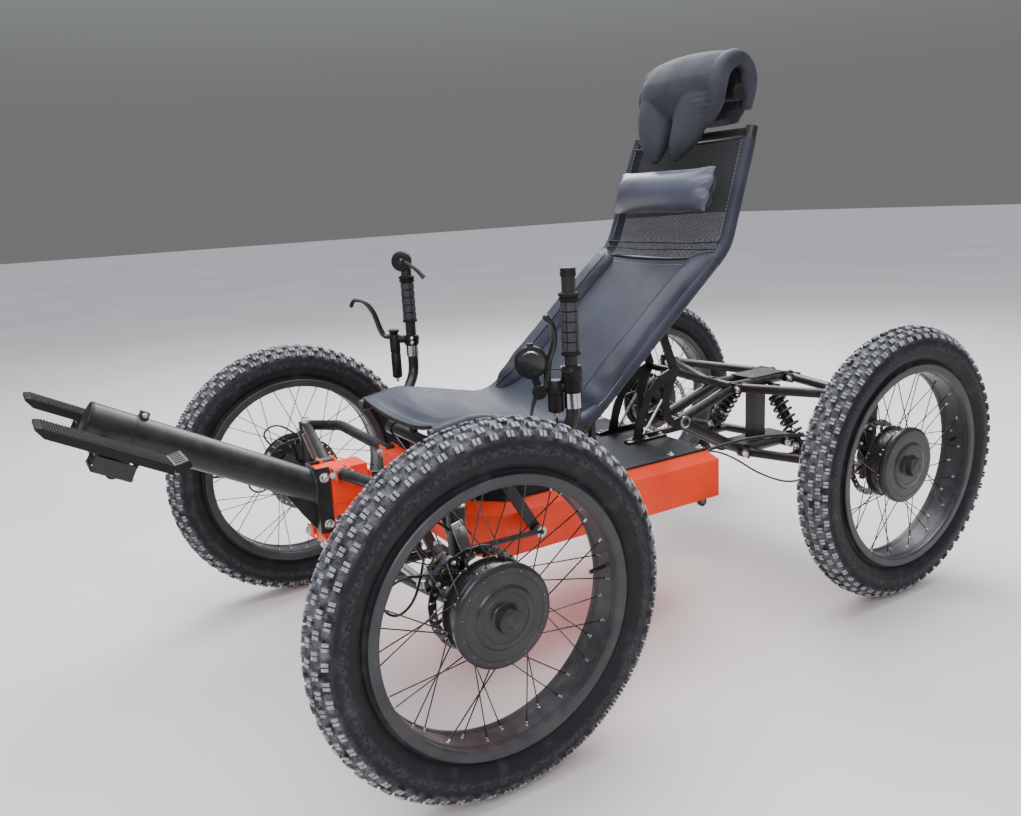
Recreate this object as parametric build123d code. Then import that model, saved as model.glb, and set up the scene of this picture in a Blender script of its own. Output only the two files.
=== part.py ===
from build123d import *
from math import cos, radians, sin, tan
import os

os.makedirs("parts", exist_ok=True)

# Electric recumbent quadricycle, in millimetres and degrees.
# X points to the rider's left, Y to the rear and Z up. The floor is Z = 0.
# Origin: the middle of the whole vehicle's length and width, on the floor.

# Wheels
WHEELBASE = 1227
FRONT_TRACK = 1108
REAR_TRACK = 958
TYRE_RADIUS = 350
TYRE_WIDTH = 106
TYRE_FACETS = 36
TREAD_DEPTH = 14
KNOB_COUNT = 60
KNOB_HEIGHT = 9
KNOB_HALF = 37
KNOB_SHARE = 0.6
RIM_RADIUS = 257
RIM_WIDTH = 84
RIM_WALL = 3.5
RIM_BED_DEPTH = 20
AXLE_RADIUS = 10
SPOKE_COUNT = 36
SPOKE_RADIUS = 1.3
SPOKE_LEAN = 26
SPOKE_ROW = 10
SPOKE_GAP = 0.8
SPOKE_HOOK = 4
FLANGE_RADIUS = 92
FLANGE_WIDTH = 4
FLANGE_OUTBOARD = 6
FLANGE_INBOARD = -30
MOTOR_RADIUS = 96
MOTOR_DRUM_RADIUS = 84
MOTOR_CAP_RADIUS = 24
MOTOR_CAP_REACH = 51
MOTOR_BOSS = 22
AXLE_END = 38
DISC_RADIUS = 100
DISC_THICKNESS = 2
DISC_OFFSET = 69
DISC_BAND = 22
DISC_HUB = 30
CALIPER_ANGLE = 47
CALIPER_SIZE = (42, 62, 34)

# Clearances
FIT = 0.3
PLAY = 0.5
WALL = 4

# Battery case and deck
CASE_AHEAD = 144.5
CASE_LENGTH = 694
CASE_WIDTH = 486
CASE_BOTTOM = 290
DECK_TOP = 415
DECK_THICKNESS = 4
CASE_BEVEL = 24
CASE_CORNER = 60
DECK_INSET = 20
RACK_HOLE_RADIUS = 3.3
RACK_HOLE_SPACING = 360
RACK_HOLE_AHEAD = 32
PACK_AHEAD = 90
PACK_BEHIND = 40
CASTER_X = 200
CASTER_INSET = 26
CASTER_TRAIL = 8
CASTER_WHEEL = 12
CASTER_HEIGHT = 36
CASTER_TREAD = 10
CASTER_PIN = 2

# Front frame and wishbones
KINGPIN_INSET = 134
PIVOT_X = 52
ARM_RADIUS = 13
EYE_RADIUS = 13
EYE_LENGTH = 26
LUG_REACH = 12
PIN_RADIUS = 5
CROSS_BAR_RADIUS = 10
SEAT_GAP = 2
FRONT_UPPER_Z = 500
FRONT_LOWER_Z = 311
FRONT_UPPER_PIVOT_Z = 497
FRONT_LOWER_PIVOT_Z = 350
FRONT_UPPER_SPREAD = (-80, 73)
FRONT_LOWER_SPREAD = (-116, 90)
NOSE_WIDTH = 56
NOSE_LENGTH = 30
NOSE_AHEAD = 126.5
NOSE_TOP_Z = 505
NOSE_BOLT = 14
STAY_BEHIND = 84
STAY_LENGTH = 26
BEAM_HEIGHT = 30
BEAM_Z = 413
TOWER_WIDTH = 66
BRACKET_BOLTS = (490, 384)
KINGPIN_RADIUS = 7
KINGPIN_BODY = 18
KINGPIN_EYE = 20
KINGPIN_EYE_HEIGHT = 18
FRONT_SHOCK_TOP = (54, 452)
FRONT_SHOCK_FOOT_X = 205
REAR_SHOCK_TOP = (66, 478)
REAR_SHOCK_FOOT_X = 168
SHOCK_RADIUS = 24
SHOCK_TURNS = 8

# Steering
STEER_ARM = 85
STEER_ARM_Z = 400
TIE_ARM = 75
TIE_ARM_Z = 366
TIE_ROD_RADIUS = 8
TIE_ROD_LIFT = 12
STUD_RADIUS = 5
STICK_X = 376
STICK_BEHIND = 159
STICK_PIVOT_BEHIND = 45
STICK_PIVOT_Z = 485
STICK_HUB_X = 262
STICK_HUB_LENGTH = 36
STICK_HUB_RADIUS = 19
STICK_SOCKET = 20
STICK_RADIUS = 14
STICK_ELBOW_Z = 600
STICK_TOP_Z = 915
DROP_BACK = 80
DROP_DOWN = 136
GRIP_BOTTOM_Z = 746
GRIP_LENGTH = 125
GRIP_RADIUS = 18
COLLAR_RADIUS = 20
COLLAR_LOW_Z = 668
COLLAR_HEIGHT = 54
# Places on a stick, as (outward, rearward, up) from the middle of its collar's lower edge
LEFT_LEVER = ((-20, -34, 8), (-24, -43, 22), (-23, -38, 63), (-17, -28, 101), (-18, -30, 135), (-26, -43, 156))
RIGHT_LEVER = ((22, -42, 38), (39, -66, 43), (50, -84, 106), (68, -114, 143), (80, -135, 123))
LEFT_CYLINDER = ((-18, -29, -42), (-18, -29, 22))
RIGHT_CYLINDER = ((23, -40, -40), (23, -40, 52))
CYLINDER_RADIUS = 15
LEVER_RADIUS = 6
THROTTLE = (-34, -57, 3)
THROTTLE_RADIUS = 15
THUMB_PADDLE = (THROTTLE, (-38, -64, -18), (-44, -73, -46))
DISPLAY = (-41, -69, 64)
DISPLAY_RADIUS = 33.5
SHIFTER = (5, -8, 238)
SHIFTER_RADIUS = 27
SHIFTER_PADDLE = ((-16, -10, 238), (-32, 14, 216), (-42, 32, 192))
PADDLE_RADIUS = 4
DRAG_RADIUS = 6
DRAG_EYE = 14
DRAG_BORE = 9.8
DRAG_SHIFT = (3.65, 1.6)
DRAG_EYE_DROP = 20

# Boom and foot platforms
BOOM_BASE_AHEAD = 125
BOOM_BASE_Z = 464
BOOM_ANGLE = 28.4
BOOM_RADIUS = 35
BOOM_WALL = 4
BOOM_FIT = 0.3
BOOM_TUBE = 397
BOOM_SLEEVE = 80
SLIDER_LENGTH = 220
PLATFORM_AHEAD = 98
PLATFORM_LENGTH = 262
PLATFORM_WIDTH = 88
PLATFORM_X = 150
PLATFORM_DROP = 6
PLATFORM_THICKNESS = 18
SPINDLE_DROP = 50
SPINDLE_RADIUS = 8
SPINDLE_SHELL = 19
SPINDLE_SHELL_LENGTH = 68
HEEL_LENGTH = 30
HEEL_ANGLE = 40
PEDAL_LENGTH = 74

# Seat
SEAT_TUBE_RADIUS = 14
SEAT_BEND = 120
HIP_BEHIND = 299
HIP_ABOVE = 120
PAN_LENGTH = 277
PAN_ANGLE = 13
LIP_LENGTH = 106
LIP_ANGLE = -9
BACK_LENGTH = 577
BACK_ANGLE = 40.6
HEAD_LENGTH = 296
HEAD_ANGLE = 70.6
HALF_WIDTH = {"front": 190, "knee": 196, "hip": 212, "kink": 220, "top": 210}
PAN_THICKNESS = 10
PAN_SAG = 16
BACK_THICKNESS = 14
BACK_SAG = 8
CROSS_TUBE_RADIUS = 11
LEG_X = 150
HIP_LEG_X = 175
HIP_LEG_RADIUS = 9
KNEE_LEG_RADIUS = 10
STRUT_ALONG = 425
HIP_CROSS_ALONG = 45
BOW_DEPTH = 37
BOW_RUN = 50
BOLSTER_WIDTH = 96
BOLSTER_THICKNESS = 42
BOLSTER_LIFT = 10
BOLSTER_OVERHANG = 20
HEAD_BAR_BEHIND = 40
HEAD_BAR_ABOVE = 91
HEAD_BAR_HALF = 130
HEAD_BAR_RADIUS = 20
WING_SIZE = (128, 52, 250)
WING_X = 76
ROLL_RADIUS = 50
ROLL_LENGTH = 350

# Rear frame, wishbones and seat plates
PLATE_X = 52.5
PLATE_THICKNESS = 5
RAIL_X = 34
RAIL_RADIUS = 14
TRUSS_RADIUS = 15
REAR_PIVOT_BEHIND = 60
REAR_PIVOT_Z = 436
REAR_UPPER_Z = 500
REAR_LOWER_Z = 305
REAR_UPPER_APEX_Z = 505
REAR_LOWER_APEX_Z = 311
REAR_UPPER_SPREAD = (-125, 85)
REAR_LOWER_SPREAD = (-90, 85)
REAR_PIVOT_X = 66
REAR_APEX_X = 366
POST_SIZE = 40
PIVOT_BOLT = 8
STAY_RADIUS = 9

# Places that follow from the sizes above
boom_slope = radians(BOOM_ANGLE)
boom_tip = BOOM_TUBE + BOOM_SLEEVE + PLATFORM_AHEAD
FRONT_REACH = (
    BOOM_BASE_AHEAD
    + boom_tip * cos(boom_slope)
    + (PLATFORM_DROP + PLATFORM_THICKNESS) * sin(boom_slope)
)
FRONT_Y = -(FRONT_REACH + WHEELBASE + TYRE_RADIUS) / 2 + FRONT_REACH
REAR_Y = FRONT_Y + WHEELBASE
CASE_FRONT = FRONT_Y + CASE_AHEAD
CASE_REAR = CASE_FRONT + CASE_LENGTH
CASE_TOP = DECK_TOP - DECK_THICKNESS
KINGPIN_X = FRONT_TRACK / 2 - KINGPIN_INSET
STICK_Y = CASE_FRONT + STICK_BEHIND
STICK_PIVOT_Y = CASE_FRONT + STICK_PIVOT_BEHIND
UPRIGHT_X = REAR_APEX_X + EYE_RADIUS + 5
BOOM = Plane(
    origin=(0, FRONT_Y - BOOM_BASE_AHEAD, BOOM_BASE_Z),
    x_dir=(1, 0, 0),
    z_dir=(0, -cos(boom_slope), sin(boom_slope)),
)


def along(start, angle, length):
    """Point at a distance along a slope in the side view, as (y, z); a negative length goes forward."""
    return (start[0] + length * cos(radians(angle)), start[1] + length * sin(radians(angle)))


HIP = (CASE_FRONT + HIP_BEHIND, DECK_TOP + HIP_ABOVE)
KNEE = along(HIP, -PAN_ANGLE, -PAN_LENGTH)
LIP = along(KNEE, -LIP_ANGLE, -LIP_LENGTH)
KINK = along(HIP, BACK_ANGLE, BACK_LENGTH)
TOP = along(KINK, HEAD_ANGLE, HEAD_LENGTH)
HEAD_BAR = (TOP[0] + HEAD_BAR_BEHIND, TOP[1] + HEAD_BAR_ABOVE)


def rod(start, end, radius, bore=0):
    """Round bar or tube between two points."""
    a, b = Vector(*start), Vector(*end)
    solid = Cylinder(radius, (b - a).length)
    if bore:
        solid -= Cylinder(bore, (b - a).length)
    return Plane(origin=(a + b) * 0.5, z_dir=b - a) * solid


def bar(start, end, width, depth, side=(1, 0, 0)):
    """Flat bar between two points: its width lies along the side direction."""
    a, b = Vector(*start), Vector(*end)
    return Plane(origin=(a + b) * 0.5, x_dir=side, z_dir=b - a) * Box(width, depth, (b - a).length)


def block(x, y, z):
    """Box between the low and high values of each axis."""
    centre = [(low + high) / 2 for low, high in (x, y, z)]
    return Pos(*centre) * Box(x[1] - x[0], y[1] - y[0], z[1] - z[0])


def bent(points, bend, radius):
    """Round tube along straight runs joined by arcs of one radius."""
    path = FilletPolyline(*points, radius=bend)
    return sweep(Plane(origin=path @ 0, z_dir=path % 0) * Circle(radius), path=path)


def turned(points):
    """Solid of revolution about X from (x, radius) points."""
    return revolve(Plane.XZ * Polygon(*points, align=None), axis=Axis.X)


def profile(points, x, thickness):
    """Plate of a side-view outline of (y, z) points, centred on an x."""
    face = Plane.YZ.offset(x - thickness / 2) * Polygon(*points, align=None)
    return extrude(face, amount=thickness, dir=(1, 0, 0))


def flip(shape):
    """The same piece on the other side of the vehicle."""
    return mirror(shape, about=Plane.YZ)


def save(name, shape):
    """Write one sub-part."""
    export_step(shape, f"parts/{name}.step")


def save_sides(name, left):
    """Write a left piece and its mirror image."""
    save(f"{name}_left", left)
    save(f"{name}_right", flip(left))


def eye(centre, axis=(0, 1, 0), length=EYE_LENGTH):
    """Bushing at the end of an arm, with the bore for its pin."""
    c, a = Vector(*centre), Vector(*axis) * (length / 2)
    return c - a, c + a


def arm_leg(pivot, apex):
    """One leg of a wishbone with the bushing at its inner pivot."""
    low, high = eye(pivot)
    return rod(pivot, apex, ARM_RADIUS) + rod(low, high, EYE_RADIUS)


def pin_hole(centre, radius=PIN_RADIUS + FIT, length=80):
    """Cutter for a pin along Y."""
    low, high = eye(centre, length=length)
    return rod(low, high, radius)


def lug_boxes(inner_x, centre, grow=0):
    """The two lugs that hold a bushing beside a frame member, or the room that they need."""
    x, y, z = centre
    reach = LUG_REACH if x > inner_x else -LUG_REACH
    near, far = sorted((inner_x, x + reach))
    gap = EYE_LENGTH / 2 + PLAY
    boxes = []
    for low in (y - gap - WALL, y + gap):
        span = (low - grow, low + WALL + grow)
        boxes.append(block((near - grow, far + grow), span, (z - EYE_RADIUS - grow, z + EYE_RADIUS + grow)))
    return boxes


def clevis(inner_x, centre):
    """Two lugs and the pin between them."""
    x, y, z = centre
    reach = EYE_LENGTH / 2 + PLAY + WALL
    lugs = rod((x, y - reach, z), (x, y + reach, z), PIN_RADIUS)
    for box in lug_boxes(inner_x, centre):
        lugs += box
    return lugs


# Wheels: each is built about the origin with its outboard side at +X


def faceted(x, apothem):
    """Even polygon across the axle, whose sides touch a circle of this radius."""
    return Plane.YZ.offset(x) * RegularPolygon(apothem, TYRE_FACETS, major_radius=False)


def tread():
    """Ring of knobs round the crown, with a groove between each two."""
    pitch = 360 / KNOB_COUNT
    top = KNOB_SHARE * pitch / 2
    # One knob with its groove, as (angle from the knob's middle, radius)
    corners = (
        (-top, TYRE_RADIUS / cos(radians(top))),
        (top, TYRE_RADIUS / cos(radians(top))),
        (pitch / 2, TYRE_RADIUS - KNOB_HEIGHT),
    )
    outline = []
    for number in range(KNOB_COUNT):
        for angle, radius in corners:
            turn = radians(number * pitch + angle)
            outline.append((radius * cos(turn), radius * sin(turn)))
    face = Plane.YZ.offset(-KNOB_HALF) * Polygon(*outline, align=None)
    return extrude(face, amount=2 * KNOB_HALF, dir=(1, 0, 0))


def tyre():
    """Fat off-road tyre in flat facets, as one closed ring on the rim bed."""
    crown = TYRE_WIDTH / 2
    bead = RIM_WIDTH / 2 - RIM_WALL - FIT
    foot = RIM_RADIUS - RIM_BED_DEPTH + RIM_WALL + FIT
    belly = TYRE_RADIUS - crown
    shoulder = KNOB_HALF - 3
    rows = ((-crown, belly + 3), (-shoulder, TYRE_RADIUS - TREAD_DEPTH))
    rows += tuple((-x, radius) for x, radius in reversed(rows))
    body = loft([faceted(x, radius) for x, radius in rows], ruled=True) + tread()
    body -= extrude(faceted(-crown, foot), amount=2 * crown, dir=(1, 0, 0))
    reach = crown - bead
    for side in (1, -1):
        start, end = RIM_RADIUS + RIM_WALL, belly - 3
        cutter = (faceted(side * bead, start), faceted(side * (bead + 2 * reach), 2 * end - start))
        body -= loft(cutter, ruled=True)
    return body


def rim():
    """Wide rim with its spokes, which end just clear of the motor flanges."""
    half = RIM_WIDTH / 2
    bed = RIM_RADIUS - RIM_BED_DEPTH
    section = [
        (-half, bed),
        (half, bed),
        (half, RIM_RADIUS),
        (half - RIM_WALL, RIM_RADIUS),
        (half - RIM_WALL, bed + RIM_WALL),
        (RIM_WALL - half, bed + RIM_WALL),
        (RIM_WALL - half, RIM_RADIUS),
        (-half, RIM_RADIUS),
    ]
    low, high = FLANGE_RADIUS - SPOKE_HOOK, bed + RIM_WALL / 2
    spokes = []
    # Spoke kinds: place of the flange, row on the rim, lean direction
    kinds = (
        (FLANGE_OUTBOARD, SPOKE_ROW, 1),
        (FLANGE_INBOARD, -SPOKE_ROW, 1),
        (FLANGE_OUTBOARD, SPOKE_ROW, -1),
        (FLANGE_INBOARD, -SPOKE_ROW, -1),
    )
    for number in range(SPOKE_COUNT):
        flange, row, lean = kinds[number % len(kinds)]
        foot = flange + lean * (FLANGE_WIDTH / 2 + SPOKE_RADIUS + SPOKE_GAP)
        outer = radians(number * 360 / SPOKE_COUNT)
        inner = outer + lean * radians(SPOKE_LEAN)
        start = (foot, low * cos(inner), low * sin(inner))
        end = (row, high * cos(outer), high * sin(outer))
        spokes.append(rod(start, end, SPOKE_RADIUS))
    return turned(section).fuse(*spokes)


def motor():
    """Hub motor: drum, two spoke flanges, outer cover with a raised ring, and the axle cap."""
    bore = AXLE_RADIUS + FIT
    inboard, outboard = FLANGE_INBOARD, FLANGE_OUTBOARD
    half = FLANGE_WIDTH / 2
    cover = outboard + half + 2 * SPOKE_RADIUS + 2
    end = DISC_THICKNESS / 2 + FIT - DISC_OFFSET
    return turned(
        [
            (end, bore),
            (end, MOTOR_BOSS),
            (inboard - 20, MOTOR_BOSS),
            (inboard - 20, 38),
            (inboard - 6, MOTOR_DRUM_RADIUS - 8),
            (inboard - half, MOTOR_DRUM_RADIUS),
            (inboard - half, FLANGE_RADIUS),
            (inboard + half, FLANGE_RADIUS),
            (inboard + half, MOTOR_DRUM_RADIUS),
            (outboard - half, MOTOR_DRUM_RADIUS),
            (outboard - half, FLANGE_RADIUS),
            (outboard + half, FLANGE_RADIUS),
            (outboard + half, MOTOR_DRUM_RADIUS),
            (cover, MOTOR_DRUM_RADIUS),
            (cover, MOTOR_RADIUS),
            (cover + 12, MOTOR_RADIUS),
            (cover + 15, MOTOR_RADIUS - 4),
            (cover + 15, 58),
            (cover + 19, 55),
            (cover + 19, MOTOR_CAP_RADIUS),
            (MOTOR_CAP_REACH - 3, MOTOR_CAP_RADIUS),
            (MOTOR_CAP_REACH, MOTOR_CAP_RADIUS - 3),
            (MOTOR_CAP_REACH, 0),
            (AXLE_END + FIT, 0),
            (AXLE_END + FIT, bore),
        ]
    )


def disc():
    """Drilled brake disc on the inboard boss of the motor."""
    plate = Circle(DISC_RADIUS) - Circle(DISC_RADIUS - DISC_BAND)
    plate += Circle(DISC_HUB)
    for number in range(6):
        plate += Rot(0, 0, 60 * number) * Pos(DISC_RADIUS / 2, 0) * Rectangle(DISC_RADIUS - DISC_BAND / 2, 12)
    plate -= Circle(AXLE_RADIUS + 1)
    plate -= PolarLocations(DISC_RADIUS - DISC_BAND / 2, 24) * Circle(3)
    low = -DISC_OFFSET - DISC_THICKNESS / 2
    return extrude(Plane.YZ.offset(low) * plate, amount=DISC_THICKNESS, dir=(1, 0, 0))


def wheels():
    """All four wheels, one set of nodes each."""
    pieces = {"tyre": tyre(), "rim": rim(), "hub_motor": motor() + disc()}
    for end, y, track in (("front", FRONT_Y, FRONT_TRACK), ("rear", REAR_Y, REAR_TRACK)):
        for name, piece in pieces.items():
            placed = Pos(track / 2, y, TYRE_RADIUS) * piece
            save_sides(f"{name}_{end}", placed)


# Battery case, deck and transport casters


def case_outline(inset):
    """Plan of the case with its two front corners cut off."""
    half = CASE_WIDTH / 2 - inset
    front, rear = CASE_FRONT + inset, CASE_REAR - inset
    cut = CASE_CORNER
    return Polygon(
        (half, rear), (-half, rear), (-half, front + cut), (cut - half, front), (half - cut, front), (half, front + cut),
        align=None,
    )


def case_shell(inset, low, high):
    """Case volume with bevelled top edges."""
    body = extrude(Plane.XY.offset(low) * case_outline(inset), amount=high - low - CASE_BEVEL, dir=(0, 0, 1))
    shoulder = Plane.XY.offset(high - CASE_BEVEL)
    top = Plane.XY.offset(high) * case_outline(inset + CASE_BEVEL)
    return body + loft([shoulder * case_outline(inset), top])


def battery():
    """Orange case, its black deck and the cells inside as one plain block."""
    outer = case_shell(0, CASE_BOTTOM, CASE_TOP)
    inner = case_shell(WALL, CASE_BOTTOM + WALL, CASE_TOP)
    save("battery_case", outer - inner)
    deck = extrude(Plane.XY.offset(CASE_TOP) * case_outline(DECK_INSET), amount=DECK_THICKNESS, dir=(0, 0, 1))
    for x in (RACK_HOLE_SPACING / 2, -RACK_HOLE_SPACING / 2):
        y = CASE_REAR - RACK_HOLE_AHEAD
        deck -= rod((x, y, CASE_TOP - 5), (x, y, DECK_TOP + 5), RACK_HOLE_RADIUS)
    save("deck_plate", deck)
    side = CASE_WIDTH / 2 - CASE_BEVEL - 2 * WALL
    low = CASE_BOTTOM + WALL
    pack = block((-side, side), (CASE_FRONT + PACK_AHEAD, CASE_REAR - PACK_BEHIND), (low, CASE_TOP - CASE_BEVEL - 6))
    save("battery_pack", pack)


def casters():
    """Small swivel castors under the rear corners: fork, and wheel on its pin."""
    x, y = CASTER_X, CASE_REAR - CASTER_INSET
    top = CASE_BOTTOM - FIT
    wheel_z = CASE_BOTTOM - CASTER_HEIGHT + CASTER_WHEEL
    wheel_y = y + CASTER_TRAIL
    half = CASTER_TREAD / 2 + 1
    fork = rod((x, y, top - 6), (x, y, top), 13)
    for low in (x - half - 2, x + half):
        cheek = profile(
            [(y - 10, top - 5), (y + 10, top - 5), (wheel_y + 4, wheel_z - 4), (wheel_y - 4, wheel_z - 4)],
            low + 1,
            2,
        )
        fork += cheek
    fork += rod((x - half - 3, wheel_y, wheel_z), (x + half + 3, wheel_y, wheel_z), CASTER_PIN)
    wheel = rod((x - half + 1, wheel_y, wheel_z), (x + half - 1, wheel_y, wheel_z), CASTER_WHEEL, CASTER_PIN + FIT)
    save_sides("caster_fork", fork)
    save_sides("caster_wheel", wheel)


# Front frame, wishbones and springs


def front_frame():
    """Orange frame ahead of the case: nose post, keel, stay and the upper beam with its towers."""
    keel_low = FRONT_LOWER_PIVOT_Z - EYE_RADIUS
    keel_high = keel_low + EYE_LENGTH
    nose_front = FRONT_Y - NOSE_AHEAD
    nose_rear = nose_front + NOSE_LENGTH
    half = NOSE_WIDTH / 2
    tower = TOWER_WIDTH / 2
    beam_low, beam_high = BEAM_Z - BEAM_HEIGHT / 2, BEAM_Z + BEAM_HEIGHT / 2
    upper_top = FRONT_UPPER_PIVOT_Z + EYE_RADIUS - 6
    front_pivot, rear_pivot = (FRONT_Y + offset for offset in FRONT_UPPER_SPREAD)

    post = block((-half, half), (nose_front, nose_rear), (keel_low, NOSE_TOP_Z))
    for z in BRACKET_BOLTS:
        post -= rod((-60, nose_front + NOSE_BOLT, z), (60, nose_front + NOSE_BOLT, z), PIN_RADIUS + FIT)
    save("nose_post", post)

    keel = block((-half, half), (nose_rear, CASE_FRONT), (keel_low, keel_high))
    for offset in FRONT_LOWER_SPREAD:
        for sign in (1, -1):
            keel += clevis(sign * (half - 2), (sign * PIVOT_X, FRONT_Y + offset, FRONT_LOWER_PIVOT_Z))
    save("front_keel", keel - post)

    stay = (FRONT_Y + STAY_BEHIND, FRONT_Y + STAY_BEHIND + STAY_LENGTH)
    save("front_stay", block((-half, half), stay, (keel_high, beam_low)))

    frame = block((-half, half), (nose_rear, CASE_FRONT), (beam_low, beam_high))
    frame += block((-tower, tower), (front_pivot - 18, FRONT_Y - 14), (beam_high - 1, upper_top))
    frame += block((-tower, tower), (rear_pivot - 22, rear_pivot + 22), (beam_high - 1, upper_top))
    frame += block((-half, half), (FRONT_Y - 14, rear_pivot - 22), (beam_high - 1, beam_high + 14))
    for offset in FRONT_UPPER_SPREAD:
        for sign in (1, -1):
            frame += clevis(sign * half, (sign * PIVOT_X, FRONT_Y + offset, FRONT_UPPER_PIVOT_Z))
    for sign in (1, -1):
        frame += clevis(sign * half, (sign * FRONT_SHOCK_TOP[0], FRONT_Y, FRONT_SHOCK_TOP[1]))
    save("front_frame", frame - post)


def spring_seat(inner, apex, x):
    """Height of a spring's lower pin over the cross bar of a wishbone, and the ends of that bar."""
    share = (x - inner[0][0]) / (apex[0] - inner[0][0])
    ends = [Vector(*point) + (Vector(*apex) - Vector(*point)) * share for point in inner]
    return ends[0].Z + CROSS_BAR_RADIUS + EYE_RADIUS + SEAT_GAP, ends


def kingpin_eye(x, y, z):
    """Eye of a wishbone round the kingpin."""
    return rod((x, y, z - KINGPIN_EYE_HEIGHT / 2), (x, y, z + KINGPIN_EYE_HEIGHT / 2), KINGPIN_EYE)


def kingpin_room(x, y, z):
    """Cutters for the kingpin, and for the knuckle above and below its eye."""
    half, reach, room = KINGPIN_EYE_HEIGHT / 2, 50, KINGPIN_EYE + 10
    return (
        rod((x, y, z - reach), (x, y, z + reach), KINGPIN_RADIUS + FIT),
        rod((x, y, z - reach), (x, y, z - half), room),
        rod((x, y, z + half), (x, y, z + reach), room),
    )


def front_arms():
    """Upper and lower wishbones of the left front wheel, and their mirror images."""
    edge = NOSE_WIDTH / 2
    apex = (KINGPIN_X, FRONT_Y, FRONT_UPPER_Z)
    inner = [(PIVOT_X, FRONT_Y + offset, FRONT_UPPER_PIVOT_Z) for offset in FRONT_UPPER_SPREAD]
    bow_x, bow_share, bow_lift, bow_bend = 280, 0.62, 18, 90
    bow = (bow_x, FRONT_Y + FRONT_UPPER_SPREAD[1] * bow_share, FRONT_UPPER_Z + bow_lift)
    low, high = eye(inner[1])
    upper = arm_leg(inner[0], apex) + bent([inner[1], bow, apex], bow_bend, ARM_RADIUS) + rod(low, high, EYE_RADIUS)
    upper += kingpin_eye(*apex)
    save("front_upper_arms", both(fitted(upper, inner, edge, kingpin_room(*apex))))

    apex = (KINGPIN_X, FRONT_Y, FRONT_LOWER_Z)
    inner = [(PIVOT_X, FRONT_Y + offset, FRONT_LOWER_PIVOT_Z) for offset in FRONT_LOWER_SPREAD]
    lower = arm_leg(inner[0], apex) + arm_leg(inner[1], apex) + kingpin_eye(*apex)
    lower += spring_foot(inner, apex, FRONT_SHOCK_FOOT_X)
    save("front_lower_arms", both(fitted(lower, inner, edge, kingpin_room(*apex))))


def fitted(arm, pivots, edge, cutters=()):
    """A wishbone with its pin bores and the room for the lugs beside its bushings."""
    for point in pivots:
        arm -= pin_hole(point)
        for box in lug_boxes(edge, point, FIT):
            arm -= box
    for cutter in cutters:
        arm -= cutter
    return arm


def both(left):
    """A left piece and its mirror image in one node."""
    return left + flip(left)


def spring_foot(inner, apex, x):
    """Cross bar of a wishbone with the two lugs and the pin that carry the foot of a spring."""
    pin_z, ends = spring_seat(inner, apex, x)
    y = apex[1]
    reach = EYE_LENGTH / 2 + PLAY + WALL
    lugs = rod(ends[0], ends[1], CROSS_BAR_RADIUS) + rod((x, y - reach, pin_z), (x, y + reach, pin_z), PIN_RADIUS)
    half = EYE_RADIUS - 2
    for low in (y - reach, y + reach - WALL):
        lugs += block((x - half, x + half), (low, low + WALL), (ends[0].Z, pin_z + half))
    return lugs


def shock(top, foot):
    """Coil spring over its damper, as stacked rings, between two pins along Y."""
    a, b = Vector(*top), Vector(*foot)
    length = (b - a).length
    start, end = EYE_RADIUS + 16, length - EYE_RADIUS - 14
    pitch = (end - start) / SHOCK_TURNS
    wire, core, stem, cup = SHOCK_RADIUS, SHOCK_RADIUS - 8, 8, 4
    points = [(0, stem), (0, 0), (length, 0), (length, stem), (end + cup, stem), (end + cup, wire), (end, wire)]
    for number in reversed(range(SHOCK_TURNS)):
        low = start + number * pitch
        points += [(low + 0.75 * pitch, core), (low + 0.5 * pitch, core), (low + 0.25 * pitch, wire), (low, wire)]
    points += [(start - cup, wire), (start - 2 * cup, core), (start - 2 * cup, stem)]
    body = Plane(origin=a, x_dir=b - a, z_dir=(0, 1, 0)) * turned(points)
    for centre in (top, foot):
        low, high = eye(centre)
        body += rod(low, high, EYE_RADIUS - 1)
    for centre in (top, foot):
        body -= pin_hole(centre)
    return body


def shocks():
    """Front and rear springs on both sides."""
    # Spring rows: axle Y, upper pin, foot X, pivot X, pivot offsets, pivot Z, apex X and Z
    rows = (
        (FRONT_Y, FRONT_SHOCK_TOP, FRONT_SHOCK_FOOT_X, PIVOT_X, FRONT_LOWER_SPREAD, FRONT_LOWER_PIVOT_Z, KINGPIN_X,
         FRONT_LOWER_Z),
        (REAR_Y, REAR_SHOCK_TOP, REAR_SHOCK_FOOT_X, REAR_PIVOT_X, REAR_LOWER_SPREAD, REAR_LOWER_Z, REAR_APEX_X,
         REAR_LOWER_APEX_Z),
    )
    springs = []
    for y, top, foot_x, pivot_x, spread, pivot_z, apex_x, apex_z in rows:
        inner = [(pivot_x, y + offset, pivot_z) for offset in spread]
        pin_z, _ = spring_seat(inner, (apex_x, y, apex_z), foot_x)
        springs.append(both(shock((top[0], y, top[1]), (foot_x, y, pin_z))))
    save("spring_dampers", springs[0] + springs[1])


def caliper_centre(y, share=1.0):
    """Middle of a caliper on the disc's edge, ahead of and above the axle, as (y, z)."""
    angle = radians(CALIPER_ANGLE)
    return y - share * DISC_RADIUS * cos(angle), TYRE_RADIUS + share * DISC_RADIUS * sin(angle)


def caliper(x, y):
    """Brake caliper with the slot for its disc."""
    mount_y, mount_z = caliper_centre(y)
    gap = DISC_THICKNESS / 2 + 2
    body = Pos(x, mount_y, mount_z) * Rot(90 - CALIPER_ANGLE, 0, 0) * Box(*CALIPER_SIZE)
    return body - rod((x - gap, y, TYRE_RADIUS), (x + gap, y, TYRE_RADIUS), DISC_RADIUS + 2.5)


def bracket(x, disc_x, y):
    """Flat bracket from a knuckle or an upright out to its caliper."""
    start_y, start_z = caliper_centre(y, 0.15)
    end_y, end_z = caliper_centre(y, 0.83)
    return bar((x, start_y, start_z), (disc_x - 15, end_y, end_z), 9, 30)


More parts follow.
